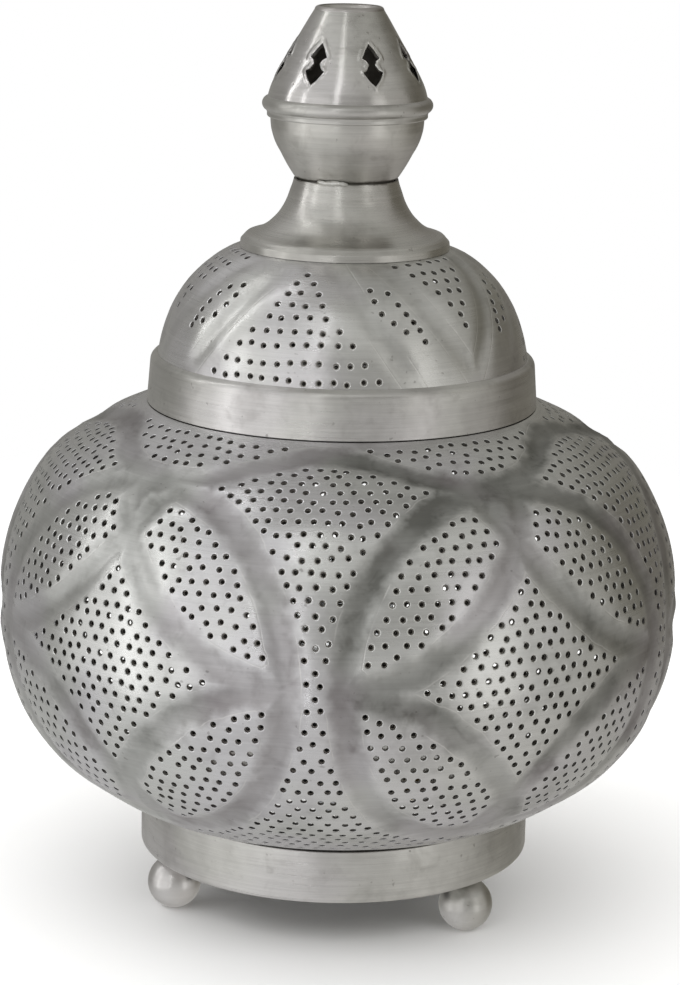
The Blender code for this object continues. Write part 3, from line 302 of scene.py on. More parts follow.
def smooth_curve(points, steps):
    """Catmull-Rom curve through the points."""
    p = np.array([2 * np.array(points[0]) - points[1], *points, 2 * np.array(points[-1]) - points[-2]])
    out = []
    for i in range(1, len(p) - 2):
        for k in range(steps):
            t = k / steps
            out.append(0.5 * (2 * p[i] + (p[i + 1] - p[i - 1]) * t
                              + (2 * p[i - 1] - 5 * p[i] + 4 * p[i + 1] - p[i + 2]) * t ** 2
                              + (3 * p[i] - p[i - 1] - 3 * p[i + 1] + p[i + 2]) * t ** 3))
    out.append(p[-2])
    return [tuple(q) for q in out]


class Profile:
    """An outer profile with its bends softened, read by its length from the top."""

    STEP = 0.0004

    def __init__(self, points, soften):
        points = np.array(points)
        lengths = np.concatenate([[0.0], np.cumsum(np.linalg.norm(np.diff(points, axis=0), axis=1))])
        even = np.linspace(0.0, lengths[-1], int(lengths[-1] / self.STEP) + 1)
        line = np.stack([np.interp(even, lengths, points[:, k]) for k in (0, 1)], axis=1)
        reach = int(3 * soften / self.STEP)
        kernel = np.exp(-0.5 * (np.arange(-reach, reach + 1) * self.STEP / soften) ** 2)
        kernel /= kernel.sum()
        before = 2 * line[0] - line[reach:0:-1]
        after = 2 * line[-1] - line[-2:-reach - 2:-1]
        padded = np.concatenate([before, line, after])
        line = np.stack([np.convolve(padded[:, k], kernel, mode="valid") for k in (0, 1)], axis=1)
        runs = np.linalg.norm(np.diff(line, axis=0), axis=1)
        self.s = np.concatenate([[0.0], np.cumsum(runs)])
        self.total = float(self.s[-1])
        self.r, self.z = line[:, 0], line[:, 1]
        along = np.gradient(line, self.s, axis=0)
        along /= np.linalg.norm(along, axis=1)[:, None]
        self.out, self.up = -along[:, 1], along[:, 0]

    def radius(self, s):
        return np.interp(s, self.s, self.r)

    def height(self, s):
        return np.interp(s, self.s, self.z)

    def length_at(self, z):
        return float(np.interp(-z, -self.z, self.s))

    def place(self, azimuth, s, offset=0.0):
        """Points on the form at azimuths in radians, moved out by an offset."""
        r = self.radius(s) + offset * np.interp(s, self.s, self.out)
        z = self.height(s) + offset * np.interp(s, self.s, self.up)
        return np.stack([r * np.sin(azimuth), -r * np.cos(azimuth), z], axis=-1)


def rounded(points, radius, steps=4, closed=False):
    """Round the corners of an outline. Each point may carry its own radius as a third number."""
    out = []
    count = len(points)
    for i, point in enumerate(points):
        here = np.array(point[:2])
        size = point[2] if len(point) > 2 else radius
        if (not closed and i in (0, count - 1)) or size == 0:
            out.append(tuple(here))
            continue
        before = np.array(points[i - 1][:2]) - here
        after = np.array(points[(i + 1) % count][:2]) - here
        lb, la = np.linalg.norm(before), np.linalg.norm(after)
        cosine = float(np.clip(before @ after / (lb * la), -1, 1))
        half = math.acos(cosine) / 2
        reach = min(size / max(math.tan(half), 1e-3), 0.49 * lb, 0.49 * la)
        start, end = here + before / lb * reach, here + after / la * reach
        for k in range(steps + 1):
            t = k / steps
            out.append(tuple((1 - t) ** 2 * start + 2 * t * (1 - t) * here + t ** 2 * end))
    return out


def arc(cr, cz, radius, start, end, steps):
    """Points of an arc in the (radius, height) plane, angles in degrees from the outward direction."""
    angles = [math.radians(start + (end - start) * i / steps) for i in range(steps + 1)]
    return [(cr + radius * math.cos(a), cz + radius * math.sin(a)) for a in angles]


def walled(outer, thickness=SHEET):
    """Close a profile that runs down an outer side with the same profile moved inwards."""
    points = np.array(outer)
    steps = np.diff(points, axis=0)
    steps /= np.linalg.norm(steps, axis=1)[:, None]
    normals = np.stack([steps[:, 1], -steps[:, 0]], axis=1)
    before = np.concatenate([normals[:1], normals])
    after = np.concatenate([normals, normals[-1:]])
    scale = thickness / (1 + (before * after).sum(axis=1))
    inner = points + (before + after) * scale[:, None]
    return outer + [tuple(p) for p in inner[::-1]]


# Shader nodes

class Nodes:
    """Short ways to lay out shader nodes in a tree."""

    def __init__(self, tree):
        self.tree = tree

    def add(self, kind, ins=(), **props):
        made = self.tree.nodes.new(kind)
        for key, value in props.items():
            setattr(made, key, value)
        for key, value in dict(ins).items():
            self.put(value, made.inputs[key])
        return made

    def put(self, value, socket):
        if isinstance(value, bpy.types.NodeSocket):
            self.tree.links.new(value, socket)
        elif value is not None:
            socket.default_value = value

    def place(self):
        return self.add("ShaderNodeTexCoord").outputs["Object"]

    def math(self, operation, a, b=None, clamp=False):
        return self.add("ShaderNodeMath", {0: a, 1: b}, operation=operation, use_clamp=clamp).outputs[0]

    def plus(self, a, b, clamp=False):
        return self.math("ADD", a, b, clamp)

    def minus(self, a, b, clamp=False):
        return self.math("SUBTRACT", a, b, clamp)

    def times(self, a, b):
        return self.math("MULTIPLY", a, b)

    def span(self, value, low, high, to_low=0.0, to_high=1.0, smooth=True):
        """Map a value from one range to another."""
        kind = "SMOOTHSTEP" if smooth else "LINEAR"
        made = self.add("ShaderNodeMapRange", {0: value, 1: low, 2: high, 3: to_low, 4: to_high},
                        interpolation_type=kind)
        return made.outputs[0]

    def mix(self, share, a, b, blend="MIX"):
        made = self.add("ShaderNodeMix", {0: share, 6: a, 7: b}, data_type="RGBA", blend_type=blend)
        return made.outputs[2]

    def scale(self, vector, factors):
        return self.add("ShaderNodeVectorMath", {0: vector, 1: factors}, operation="MULTIPLY").outputs[0]

    def noise(self, vector, scale, detail=2.0, roughness=0.5, distortion=0.0):
        made = self.add("ShaderNodeTexNoise", {"Vector": vector, "Scale": scale, "Detail": detail,
                                               "Roughness": roughness, "Distortion": distortion})
        return made.outputs[0]

    def bump(self, height, strength, distance, normal=None):
        made = self.add("ShaderNodeBump", {"Height": height, "Strength": strength, "Distance": distance,
                                           "Normal": normal})
        return made.outputs[0]


def group_of(name, inputs, outputs):
    """An empty node group with its sockets, and the layout helper for it."""
    tree = bpy.data.node_groups.new(name, "ShaderNodeTree")
    for label, kind, value in inputs:
        made = tree.interface.new_socket(label, in_out="INPUT", socket_type=kind)
        if value is not None:
            made.default_value = value
    for label, kind in outputs:
        tree.interface.new_socket(label, in_out="OUTPUT", socket_type=kind)
    nodes = Nodes(tree)
    return tree, nodes, nodes.add("NodeGroupInput").outputs, nodes.add("NodeGroupOutput").inputs


def aged_silver_group():
    """Brushed and worn silver plating: colour, roughness and normal.

    Lay is (x, y, length along the form). Shade darkens, Line is a scribed line, Wear brightens, Brush says
    how deep the brushing goes, Warmth turns silver and oxide brown, and Polish takes roughness away.
    """
    number = "NodeSocketFloat"
    inputs = (("Lay", "NodeSocketVector", None), ("Shade", number, 0.0), ("Line", number, 0.0),
              ("Wear", number, 0.0), ("Brush", number, 1.0), ("Warmth", number, 0.3), ("Polish", number, 0.0))
    outputs = (("Color", "NodeSocketColor"), ("Roughness", number), ("Normal", "NodeSocketVector"))
    tree, n, given, out = group_of("aged silver", inputs, outputs)
    lay = given["Lay"]
    fine = n.noise(n.scale(lay, (60.0, 60.0, 5200.0)), 1.0, 3.0, 0.65)
    coarse = n.noise(n.scale(lay, (22.0, 22.0, 900.0)), 1.0, 2.0, 0.55)
    cloud = n.noise(lay, 26.0, 4.0, 0.6)
    blotch = n.noise(lay, 95.0, 3.0, 0.65, 0.4)
    speck = n.noise(lay, 900.0, 2.0, 0.6)
    pits = n.span(n.noise(lay, 420.0, 1.0, 0.5), 0.73, 0.80)

    brush = n.times(n.minus(n.plus(fine, coarse), 1.0), given["Brush"])
    dull = n.plus(n.span(cloud, 0.42, 0.72, 0.0, 0.30), n.span(blotch, 0.50, 0.78, 0.0, 0.22))
    dull = n.plus(dull, given["Shade"])
    dull = n.minus(dull, given["Wear"], clamp=True)
    hue = n.span(n.noise(lay, 19.0, 2.0, 0.5), 0.40, 0.60)
    bright = n.mix(given["Warmth"], n.mix(hue, *COOL_SILVER), WARM_SILVER)
    dark = n.mix(given["Warmth"], n.mix(hue, *COOL_OXIDE), WARM_OXIDE)
    tone = n.mix(dull, bright, dark)
    lighter = n.mix(1.0, tone, BRUSHED_LIGHTER, "MULTIPLY")
    tone = n.mix(n.span(brush, -0.35, 0.35, 0.0, 1.0, False), tone, lighter)
    tone = n.mix(n.times(given["Line"], 0.35), tone, SCRIBED)
    tone = n.mix(n.times(pits, 0.30), tone, PITTED)
    stain = n.span(n.noise(lay, 130.0, 1.0, 0.5), 0.735, 0.80)
    tone = n.mix(n.times(stain, 0.14), tone, STAINED)
    n.put(tone, out["Color"])

    rough = n.plus(n.span(dull, 0.0, 1.0, 0.28, 0.50, False), n.times(brush, 0.10))
    rough = n.minus(rough, given["Polish"])
    rough = n.plus(rough, n.times(pits, 0.2), clamp=True)
    n.put(rough, out["Roughness"])

    height = n.times(brush, 0.5)
    height = n.plus(height, n.times(speck, 0.25))
    height = n.minus(height, n.times(pits, 0.8))
    height = n.minus(height, n.times(given["Line"], 0.8))
    wave = n.noise(lay, 55.0, 1.0, 0.4)
    normal = n.bump(height, 0.35, 0.00012)
    n.put(n.bump(wave, 0.25, 0.0011, normal), out["Normal"])
    return tree


SILVER = aged_silver_group()


def new_material(name, color, metallic, roughness):
    """A material with its shader, and the layout helper for its tree."""
    made = bpy.data.materials.new(name)
    made.use_nodes = True
    nodes = Nodes(made.node_tree)
    shader = made.node_tree.nodes["Principled BSDF"]
    nodes.put((*color, 1.0), shader.inputs["Base Color"])
    nodes.put(metallic, shader.inputs["Metallic"])
    nodes.put(roughness, shader.inputs["Roughness"])
    return made, nodes, shader


def groove_patina_and_shade_mask(n, lay, groove, strength, reach):
    """Patina darkness in the grooves, cloudy at its edges, with painted shade that makes it strongest up the
    shoulder and on the right, away from the light.
    """
    place = n.place()
    parts = n.add("ShaderNodeSeparateXYZ", {0: place}).outputs
    cloud = n.span(n.noise(lay, 130.0, 3.0, 0.55), 0.3, 0.7, -0.18 * reach, 0.18 * reach, False)
    patch = n.span(n.noise(lay, 26.0, 2.0, 0.5), 0.3, 0.7, 0.72, 1.20, False)
    depth = n.span(n.plus(groove, cloud), 0.26 * reach, reach, strength, 0.0)
    # Painted shade: the groove darkness is scaled by height and side, lighter on the lit left and lower
    # belly, darkest up the shoulder on the right
    belly = n.times(n.span(parts["X"], -0.115, -0.045, 0.50, 0.62),
                   n.span(parts["Z"], 0.075, 0.105, 0.86, 1.0))
    shade_by_place = n.span(parts["Z"], 0.130, 0.172, belly, n.span(parts["X"], -0.09, 0.0, 0.48, 0.86, False))
    return n.times(depth, n.times(shade_by_place, patch))


def silver(name, joint_z=None):
    """Aged silver plating with the finish of this name, darkened round a seam at the height joint_z by
    painted shade and grime.
    """
    finish = {**PLAIN_FINISH, **FINISHES[name]}
    shade = finish["shade"]
    made, n, shader = new_material(name, (0.5, 0.5, 0.48), 1.0, 0.4)
    lay = n.place()
    # Painted shade in the seam: the plating goes fully dark at the joint's height, standing in for the shadow
    # in the gap, with some grime
    if joint_z:
        height = n.add("ShaderNodeSeparateXYZ", {0: lay}).outputs["Z"]
        away = n.math("ABSOLUTE", n.minus(height, joint_z))
        ragged = n.noise(lay, 160.0, 3.0, 0.6)
        ragged = n.span(ragged, 0.3, 0.7, -0.35 * SEAM_SHADE_REACH, 0.35 * SEAM_SHADE_REACH, False)
        shade = n.span(n.plus(away, ragged), 0.3 * SEAM_SHADE_REACH, SEAM_SHADE_REACH, 1.0, shade)
    if finish["pierced"]:
        lay = n.add("ShaderNodeAttribute", attribute_name="lay").outputs["Vector"]
    use = n.add("ShaderNodeGroup", node_tree=SILVER)
    n.put(lay, use.inputs["Lay"])
    for key in ("brush", "warmth", "polish"):
        n.put(finish[key], use.inputs[key.title()])
    n.put(shade, use.inputs["Shade"])
    if finish["pierced"]:
        strength, reach, border = finish["pierced"]
        groove = n.add("ShaderNodeAttribute", attribute_name="groove").outputs["Fac"]
        rim = n.add("ShaderNodeAttribute", attribute_name="rim").outputs["Fac"]
        dark = n.plus(groove_patina_and_shade_mask(n, lay, groove, strength, reach), shade)
        # Painted shade: the deep part of each opening's wall is darkened, as the inside of the hole lies in
        # shadow; the rims are lightened as wear
        n.put(n.plus(dark, n.span(rim, -0.6, 0.0, 0.9, 0.0, False)), use.inputs["Shade"])
        line = n.span(n.math("ABSOLUTE", n.minus(groove, border)), 0.08, 0.36, 1.0, 0.0)
        broken = n.span(n.noise(lay, 70.0, 2.0, 0.5), 0.42, 0.56)
        n.put(n.times(line, broken), use.inputs["Line"])
        n.put(n.times(n.math("MAXIMUM", rim, 0.0), 0.45), use.inputs["Wear"])
    for given, socket in (("Color", "Base Color"), ("Roughness", "Roughness"), ("Normal", "Normal")):
        n.put(use.outputs[given], shader.inputs[socket])
    n.put(finish["anisotropy"], shader.inputs["Anisotropic"])
    n.put(0.25, shader.inputs["Anisotropic Rotation"])
    tangent = n.add("ShaderNodeTangent", direction_type="RADIAL", axis="Z")
    n.put(tangent.outputs[0], shader.inputs["Tangent"])
    return made


# Mesh pieces

def dress(piece, material, body, nodes=()):
    """Make a finished object a piece of the lamp."""
    piece.data.materials.append(material)
    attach(piece, body)
    if nodes:
        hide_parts(*nodes)
    return piece


def set_attribute(mesh, name, values):
    """Store a number or a vector for each corner point of a mesh."""
    values = np.asarray(values, dtype=np.float32)
    vector = values.ndim == 2
    layer = mesh.attributes.new(name, "FLOAT_VECTOR" if vector else "FLOAT", "POINT")
    layer.data.foreach_set("vector" if vector else "value", values.ravel())


def turned(name, outline, material, body, nodes=(), segments=SEGMENTS, closed=True, centre=(0.0, 0.0)):
    """A turned piece: a circle drawn out ring by ring along an outline of (radius, height).

    A closed outline comes back to its start, and an open one keeps a flat cap at both ends.
    """
    (radius, height), *rest = outline
    bpy.ops.object.select_all(action="DESELECT")
    bpy.ops.mesh.primitive_circle_add(vertices=segments, radius=radius, location=(*centre, height),
                                      fill_type="NOTHING" if closed else "NGON", enter_editmode=True)
    bpy.ops.mesh.select_all(action="SELECT")
    for next_radius, next_height in rest:
        bpy.ops.mesh.extrude_region_move(TRANSFORM_OT_translate={"value": (0, 0, next_height - height)})
        wider = next_radius / radius
        bpy.ops.transform.resize(value=(wider, wider, 1), center_override=(*centre, next_height))
        radius, height = next_radius, next_height
    bpy.ops.mesh.select_mode(type="EDGE")
    if closed:
        bpy.ops.mesh.select_all(action="DESELECT")
        bpy.ops.mesh.select_non_manifold(use_wire=False, use_multi_face=False, use_non_contiguous=False,
                                         use_verts=False)
        bpy.ops.mesh.bridge_edge_loops()
    bpy.ops.mesh.select_all(action="SELECT")
    bpy.ops.mesh.remove_doubles(threshold=WELD)
    bpy.ops.mesh.normals_make_consistent(inside=False)
    bpy.ops.object.mode_set(mode="OBJECT")
    bpy.ops.object.transform_apply(location=True, rotation=True, scale=True)
    bpy.ops.object.shade_smooth_by_angle(angle=math.radians(SHARP_ANGLE))
    piece = bpy.context.active_object
    piece.name = piece.data.name = name
    return dress(piece, material, body, nodes)


def in_polygon(polygon, points):
    """Which points lie inside a polygon."""
    inside = np.zeros(len(points), dtype=bool)
    x, y = points[:, 0], points[:, 1]
    for (x0, y0), (x1, y1) in zip(polygon, np.roll(polygon, -1, axis=0)):
        if y0 != y1:
            inside ^= ((y0 > y) != (y1 > y)) & (x < (x1 - x0) * (y - y0) / (y1 - y0) + x0)
    return inside


def scatter_value(key, salt):
    """A repeatable number from -1 to 1 for a place."""
    value = np.sin(key[..., 0] * 127.1 + key[..., 1] * 3117.7 + salt * 74.7) * 43758.5453
    return (value - np.floor(value)) * 2 - 1


def slow_wave(azimuth, s, salt):
    """A slow, repeatable drift of hand work round the lamp, from about -1 to 1."""
    return (np.sin(2 * azimuth + 31 * s + salt) + 0.7 * np.sin(3 * azimuth - 47 * s + 2.1 * salt)
            + 0.5 * np.sin(5 * azimuth + 63 * s + 0.7 * salt)) / 2.2


def unit(vectors):
    """The vectors at length one."""
    return vectors / np.linalg.norm(vectors, axis=1)[:, None]


class Pierced:
    """A pierced sheet. It has hundreds of openings, so it is laid out in code and not shaped by operators.

    Half of one repeat is laid out flat, as azimuths and lengths down the form, then wrapped, mirrored and
    repeated.
    """

    ROW_SHARE = 0.87
    TOUCH = 1e-7
    NORMAL_STEP = 0.0003
    RIM_ROUND = 0.55
    DRIFT_FADE = 0.012
    DRIFT_R = 0.05

    def __init__(self, profile, repeats, start, relief, drift, jitter):
        self.profile = profile
        self.half = math.pi / repeats
        self.copies = 2 * repeats
        self.start = math.radians(start)
        self.relief = relief
        self.drift = drift
        self.jitter = jitter
        self.points, self.hole, self.ring, self.edges = [], [], [], []
        self.centres, self.polygons, self.rims, self.large = [], [], [], []

    def add(self, azimuth, s, hole=-1, ring=-1):
        self.points.append((azimuth, s))
        self.hole.append(hole)
        self.ring.append(ring)
        return len(self.points) - 1

    def row(self, s, columns):
        """A joined row of points right across."""
        numbers = [self.add(self.half * i / columns, s) for i in range(columns + 1)]
        self.edges += list(zip(numbers, numbers[1:]))

    def pierce(self, azimuth, s, rings):
        """Cut an opening. Its rings of (across, down) offsets go round from the top, the innermost first."""
        number = len(self.centres)
        self.centres.append((azimuth, s))
        r = float(self.profile.radius(s))
        whole = 0 < azimuth < self.half
        for level, offsets in enumerate(rings):
            offsets = np.asarray(offsets)
            if not whole:
                middle = len(offsets) // 2
                if azimuth <= 0:
                    offsets = offsets[:middle + 1].copy()
                else:
                    offsets = np.concatenate([offsets[middle:], offsets[:1]])
                offsets[[0, -1], 0] = 0.0
            numbers = [self.add(azimuth + dx / r, s + dy, number, level) for dx, dy in offsets]
            pairs = list(zip(numbers, numbers[1:]))
            if whole:
                pairs.append((numbers[-1], numbers[0]))
            self.edges += pairs
            if level == 0:
                self.rims += pairs
                self.polygons.append(np.array([self.points[i] for i in numbers]))
                if len(numbers) > 2 * HOLE_SIDES:
                    self.large.append(self.polygons[-1])

    def fill(self, spacing, clear):
        """Spread loose points over what is left, clear of the points that are there."""
        total = self.profile.total
        rows = int(round(total / (spacing * self.ROW_SHARE)))
        taken = np.array(self.points)
        for row in range(1, rows):
            s = total * row / rows
            r = float(self.profile.radius(s))
            columns = max(int(round(self.half * r / spacing)), 2)
            shares = (np.arange(columns + 1) - 0.5 * (row % 2)) / columns
            if row % 2:
                shares[0] = 0.0
                shares = np.append(shares, 1.0)
            for azimuth in shares * self.half:
                away = np.hypot((taken[:, 0] - azimuth) * r, taken[:, 1] - s)
                here = np.array([(azimuth, s)])
                if away.min() > clear and not any(in_polygon(p, here)[0] for p in self.large):
                    self.add(float(azimuth), s)

    def flat_faces(self):
        """The flat layout without its openings.

        Gives azimuths, lengths, triangles, the hole and the ring of each point, and the rims.
        """
        corners = [Vector((a * BELLY_R, s)) for a, s in self.points]
        verts, _, faces, sources, _, _ = delaunay_2d_cdt(corners, self.edges, [], 0, 1e-8)
        flat = np.array([(v.x / BELLY_R, v.y) for v in verts])
        back = {old: new for new, ids in enumerate(sources) for old in ids}
        hole = np.array([self.hole[ids[0]] if ids else -1 for ids in sources])
        ring = np.array([self.ring[ids[0]] if ids else -1 for ids in sources])
        faces = np.array([tuple(face) for face in faces])
        middles = flat[faces].mean(axis=1)
        owner = hole[faces]
        same = (owner[:, 0] >= 0) & (owner == owner[:, :1]).all(axis=1)
        keep = np.ones(len(faces), dtype=bool)
        for number, polygon in enumerate(self.polygons):
            near = np.nonzero(same & (owner[:, 0] == number))[0]
            keep[near[in_polygon(polygon, middles[near])]] = False
        rims = np.array([(back[a], back[b]) for a, b in self.rims])
        return flat[:, 0], flat[:, 1], faces[keep], hole, ring, rims

    def shifts(self, place, s, hole, middle):
        """How far points move from the even layout: holes at random, and all in a slow drift."""
        around, down = middle
        where = np.round(np.cos(around), 5) + 2 * np.round(np.sin(around), 5)
        key = np.stack([where, np.round(down, 6)], axis=1)
        shift_a, shift_s = np.zeros(len(s)), np.zeros(len(s))
        mine = hole >= 0
        shift_a[mine] = (scatter_value(key, 1.0) * self.jitter / self.profile.radius(down))[hole[mine]]
        shift_s[mine] = (scatter_value(key, 2.0) * self.jitter)[hole[mine]]
        radius = np.maximum(self.profile.radius(s), self.DRIFT_R)
        fade = np.clip(np.minimum(s, self.profile.total - s) / self.DRIFT_FADE, 0, 1)
        shift_a = shift_a + slow_wave(place, s, 0.4) * self.drift / radius
        shift_s = shift_s + slow_wave(place, s, 2.9) * self.drift * fade
        return shift_a, shift_s

    def repeated(self, azimuth, s, faces, hole, rims):
        """The layout turned, mirrored and repeated all round.

        Gives azimuths, lengths, azimuths of the hole centres, the points that are kept, faces and rims.
        """
        count = len(s)
        at_start, at_end = azimuth < self.TOUCH, azimuth > self.half - self.TOUCH
        centre_a, centre_s = np.array(self.centres).T
        around, down, middles, kept, triangles, ends = [], [], [], [], [], []
        for copy in range(self.copies):
            odd = copy % 2
            turn = self.start + (copy + odd) * self.half
            sign = -1.0 if odd else 1.0
            owner = np.full(count, copy)
            if odd:
                owner[at_start], owner[at_end] = (copy + 1) % self.copies, copy - 1
            numbers = owner * count + np.arange(count)
            place = turn + sign * azimuth
            middle = turn + sign * centre_a
            shift_a, shift_s = self.shifts(place, s, hole, (middle, centre_s))
            around.append(place + shift_a)
            down.append(np.clip(s + shift_s, 0, self.profile.total))
            middles.append(middle)
            kept.append(numbers)
            triangles.append(numbers[faces if odd else faces[:, ::-1]])
            ends.append(rims + copy * count)
        return [np.concatenate(parts) for parts in (around, down, middles, kept, triangles, ends)]

    def wrapped(self, around, down, azimuth, s):
        """Points of the skin and their normals. The relief is read at their places in the layout."""
        def at(ds):
            return self.profile.place(around, down + ds, self.relief(azimuth, s + ds))

        turn = self.NORMAL_STEP / BELLY_R
        mirror = np.repeat(np.resize((1.0, -1.0), self.copies), len(s) // self.copies)
        change = self.relief(self.half - np.abs(self.half - (azimuth + turn)), s)
        change = (change - self.relief(np.abs(azimuth - turn), s)) * mirror
        outwards = self.profile.place(around, down, 1.0) - self.profile.place(around, down)
        side = self.profile.place(around + turn, down) - self.profile.place(around - turn, down)
        side = side + outwards * change[:, None]
        return at(0.0), -unit(np.cross(side, at(self.NORMAL_STEP) - at(-self.NORMAL_STEP)))

    def to_centres(self, skin, normal, middles, hole):
        """Directions along the skin from the points of each opening to its centre."""
        centres = self.profile.place(middles, np.tile(np.array(self.centres)[:, 1], self.copies))
        first = np.repeat(np.arange(self.copies), len(hole)) * len(self.centres)
        hole = np.tile(hole, self.copies)
        towards = centres[np.where(hole >= 0, hole + first, 0)] - skin
        towards -= (towards * normal).sum(axis=1)[:, None] * normal
        return towards / np.maximum(np.linalg.norm(towards, axis=1)[:, None], 1e-9)

    def build(self, name, material, body, nodes=(), dish=HOLE_DISH, wall=SHEET, groove=None, flip=False):
        """Wrap the layout round the form and finish the piece."""
        azimuth, s, faces, hole, ring, rims = self.flat_faces()
        around, down, middles, kept, triangles, ends = self.repeated(azimuth, s, faces, hole, rims)
        azimuth, s, edge = (np.tile(part, self.copies) for part in (azimuth, s, ring == 0))
        skin, normal = self.wrapped(around, down, azimuth, s)
        towards = self.to_centres(skin, normal, middles, hole)
        skin = skin - normal * np.where(edge, dish, 0.0)[:, None]
        shading = unit(normal + self.RIM_ROUND * towards * edge[:, None])

        chosen = np.unique(kept)
        fresh = np.full(len(skin), -1)
        fresh[chosen] = np.arange(len(chosen))
        triangles = fresh[triangles]
        lay = np.stack([skin[:, 0], skin[:, 1], down], axis=1)
        depth = groove(azimuth, s) * 1000 if groove else np.full(len(s), FAR_FROM_GROOVE)
        corners, loops, face_list = [skin[chosen]], [shading[chosen][triangles]], triangles.tolist()
        values = {"lay": [lay[chosen]], "groove": [depth[chosen]], "rim": [np.where(edge, 1.0, 0.0)[chosen]]}
        if wall:
            sides = ends[:, [0, 1, 1, 0]]
            quads, facing = skin[sides], towards[sides]
            quads[:, 2:] -= (normal * wall)[sides[:, 2:]]
            numbers = len(chosen) + np.arange(sides.size).reshape(-1, 4)
            face_normal = np.cross(quads[:, 1] - quads[:, 0], quads[:, 3] - quads[:, 0])
            wrong = (face_normal * facing[:, 0]).sum(axis=1) < 0
            numbers[wrong] = numbers[wrong][:, ::-1]
            facing[wrong] = facing[wrong][:, ::-1]
            corners.append(quads)
            loops.append(facing)
            face_list += numbers.tolist()
            values["lay"].append(lay[sides].reshape(-1, 3))
            values["groove"].append(np.full(sides.size, FAR_FROM_GROOVE))
            # Hole walls: light wear at their top and, at their foot, -1 for the painted shade deep in the
            # openings
            values["rim"].append(np.tile([0.2, 0.2, -1.0, -1.0], len(sides)))
        mesh = bpy.data.meshes.new(name)
        mesh.from_pydata(np.concatenate([part.reshape(-1, 3) for part in corners]).tolist(), [], face_list)
        if flip:
            mesh.flip_normals()
        for label, parts in values.items():
            set_attribute(mesh, label, np.concatenate(parts))
        mesh.shade_smooth()
        if not flip:
            mesh.normals_split_custom_set(np.concatenate([part.reshape(-1, 3) for part in loops]).tolist())
        piece = bpy.data.objects.new(name, mesh)
        bpy.context.scene.collection.objects.link(piece)
        return dress(piece, material, body, nodes)


def ring_offsets(radius, sides):
    """Offsets of a round hole's rim, from its top round by its right side."""
    angles = np.arange(sides) * math.tau / sides
    return np.stack([radius * np.sin(angles), -radius * np.cos(angles)], axis=1)


ROUND_HOLE = [ring_offsets(HOLE_R, HOLE_SIDES), ring_offsets(HOLE_R * HOLE_RIM, HOLE_SIDES)]
LINING_HOLE = [ring_offsets(LINING_HOLE_R, LINING_HOLE_SIDES)]


def pierced_pair(name, layout, cuts, columns, grains, body, node, inner_relief=None, **finish):
    """A pierced skin and its lining, cut at the same places.

    The layout is the profile, the repeats, the start, the relief, the drift and the jitter. Cuts are
    (azimuth, s, rings in the skin, rings in the lining).
    """
    profile, repeats, start, relief, drift, jitter = layout
    inner = inner_relief or (lambda azimuth, s: relief(azimuth, s) - SHEET)
    for side, form in enumerate((relief, inner)):
        sheet = Pierced(profile, repeats, start, form, drift, jitter)
        sheet.row(0.0, columns)
        sheet.row(profile.total, columns)
        for azimuth, s, *rings in cuts:
            sheet.pierce(azimuth, s, rings[side])
        sheet.fill(*grains[side])
        if side == 0:
            sheet.build(f"{name}_skin", silver(f"{name} silver"), body, (node,), **finish)
        else:
            sheet.build(f"{name}_lining", silver(f"{name} inside"), body, dish=0.0, wall=0.0, flip=True)


def spread(profile, half, seeds, distance, margin):
    """Push hole centres apart, keep them off the grooves, and let mirrored neighbours push too."""
    rounds, push_share, back_share, longest, probe = 60, 0.28, 0.7, 0.002, 0.0002
    azimuth, s = np.array(seeds).T
    at_start, at_end = azimuth < 1e-9, azimuth > half - 1e-9
    reach = HOLE_PITCH * 1.04
    for _ in range(rounds):
        r = profile.radius(s)
        x = azimuth * r
        images_a = np.concatenate([azimuth, -azimuth, 2 * half - azimuth])
        images_s = np.tile(s, 3)
        dx = x[:, None] - images_a[None] * r[:, None]
        dy = s[:, None] - images_s[None]
        gap = np.hypot(dx, dy)
        gap[gap < 1e-9] = 1.0
        push = np.clip(reach - gap, 0, None) * push_share
        x = x + (push * dx / gap).sum(axis=1)
        s = s + (push * dy / gap).sum(axis=1)
        azimuth = np.clip(x / r, 0, half)
        azimuth[at_start], azimuth[at_end] = 0.0, half
        here = distance(azimuth, s)
        inner_a = np.clip(azimuth + probe / r, 0, half)
        slope_x = (distance(inner_a, s) - here) / probe
        slope_y = (distance(azimuth, s + probe) - here) / probe
        short = np.clip(margin - here, 0, longest) * back_share
        length = np.maximum(np.hypot(slope_x, slope_y), 0.3)
        azimuth = np.clip(azimuth + short * slope_x / length / r, 0, half)
        s = s + short * slope_y / length
        azimuth[at_start], azimuth[at_end] = 0.0, half
    good = distance(azimuth, s) > margin * 0.86
    return azimuth[good], s[good]


# Globe

def globe_profile():
    """Outer profile of the globe from the shoulder to the foot."""
    shoulder = swelling((COLLAR_R, SHOULDER_Z), (BELLY_R, BELLY_Z), SHOULDER_SWELL)
    underside = swelling((RING_R, GLOBE_FOOT_Z + FOOT_RIM_RISE), (BELLY_R, BELLY_Z), UNDERSIDE_SWELL)
    return Profile(smooth_curve(shoulder + underside[::-1], 24), GLOBE_SOFTEN)


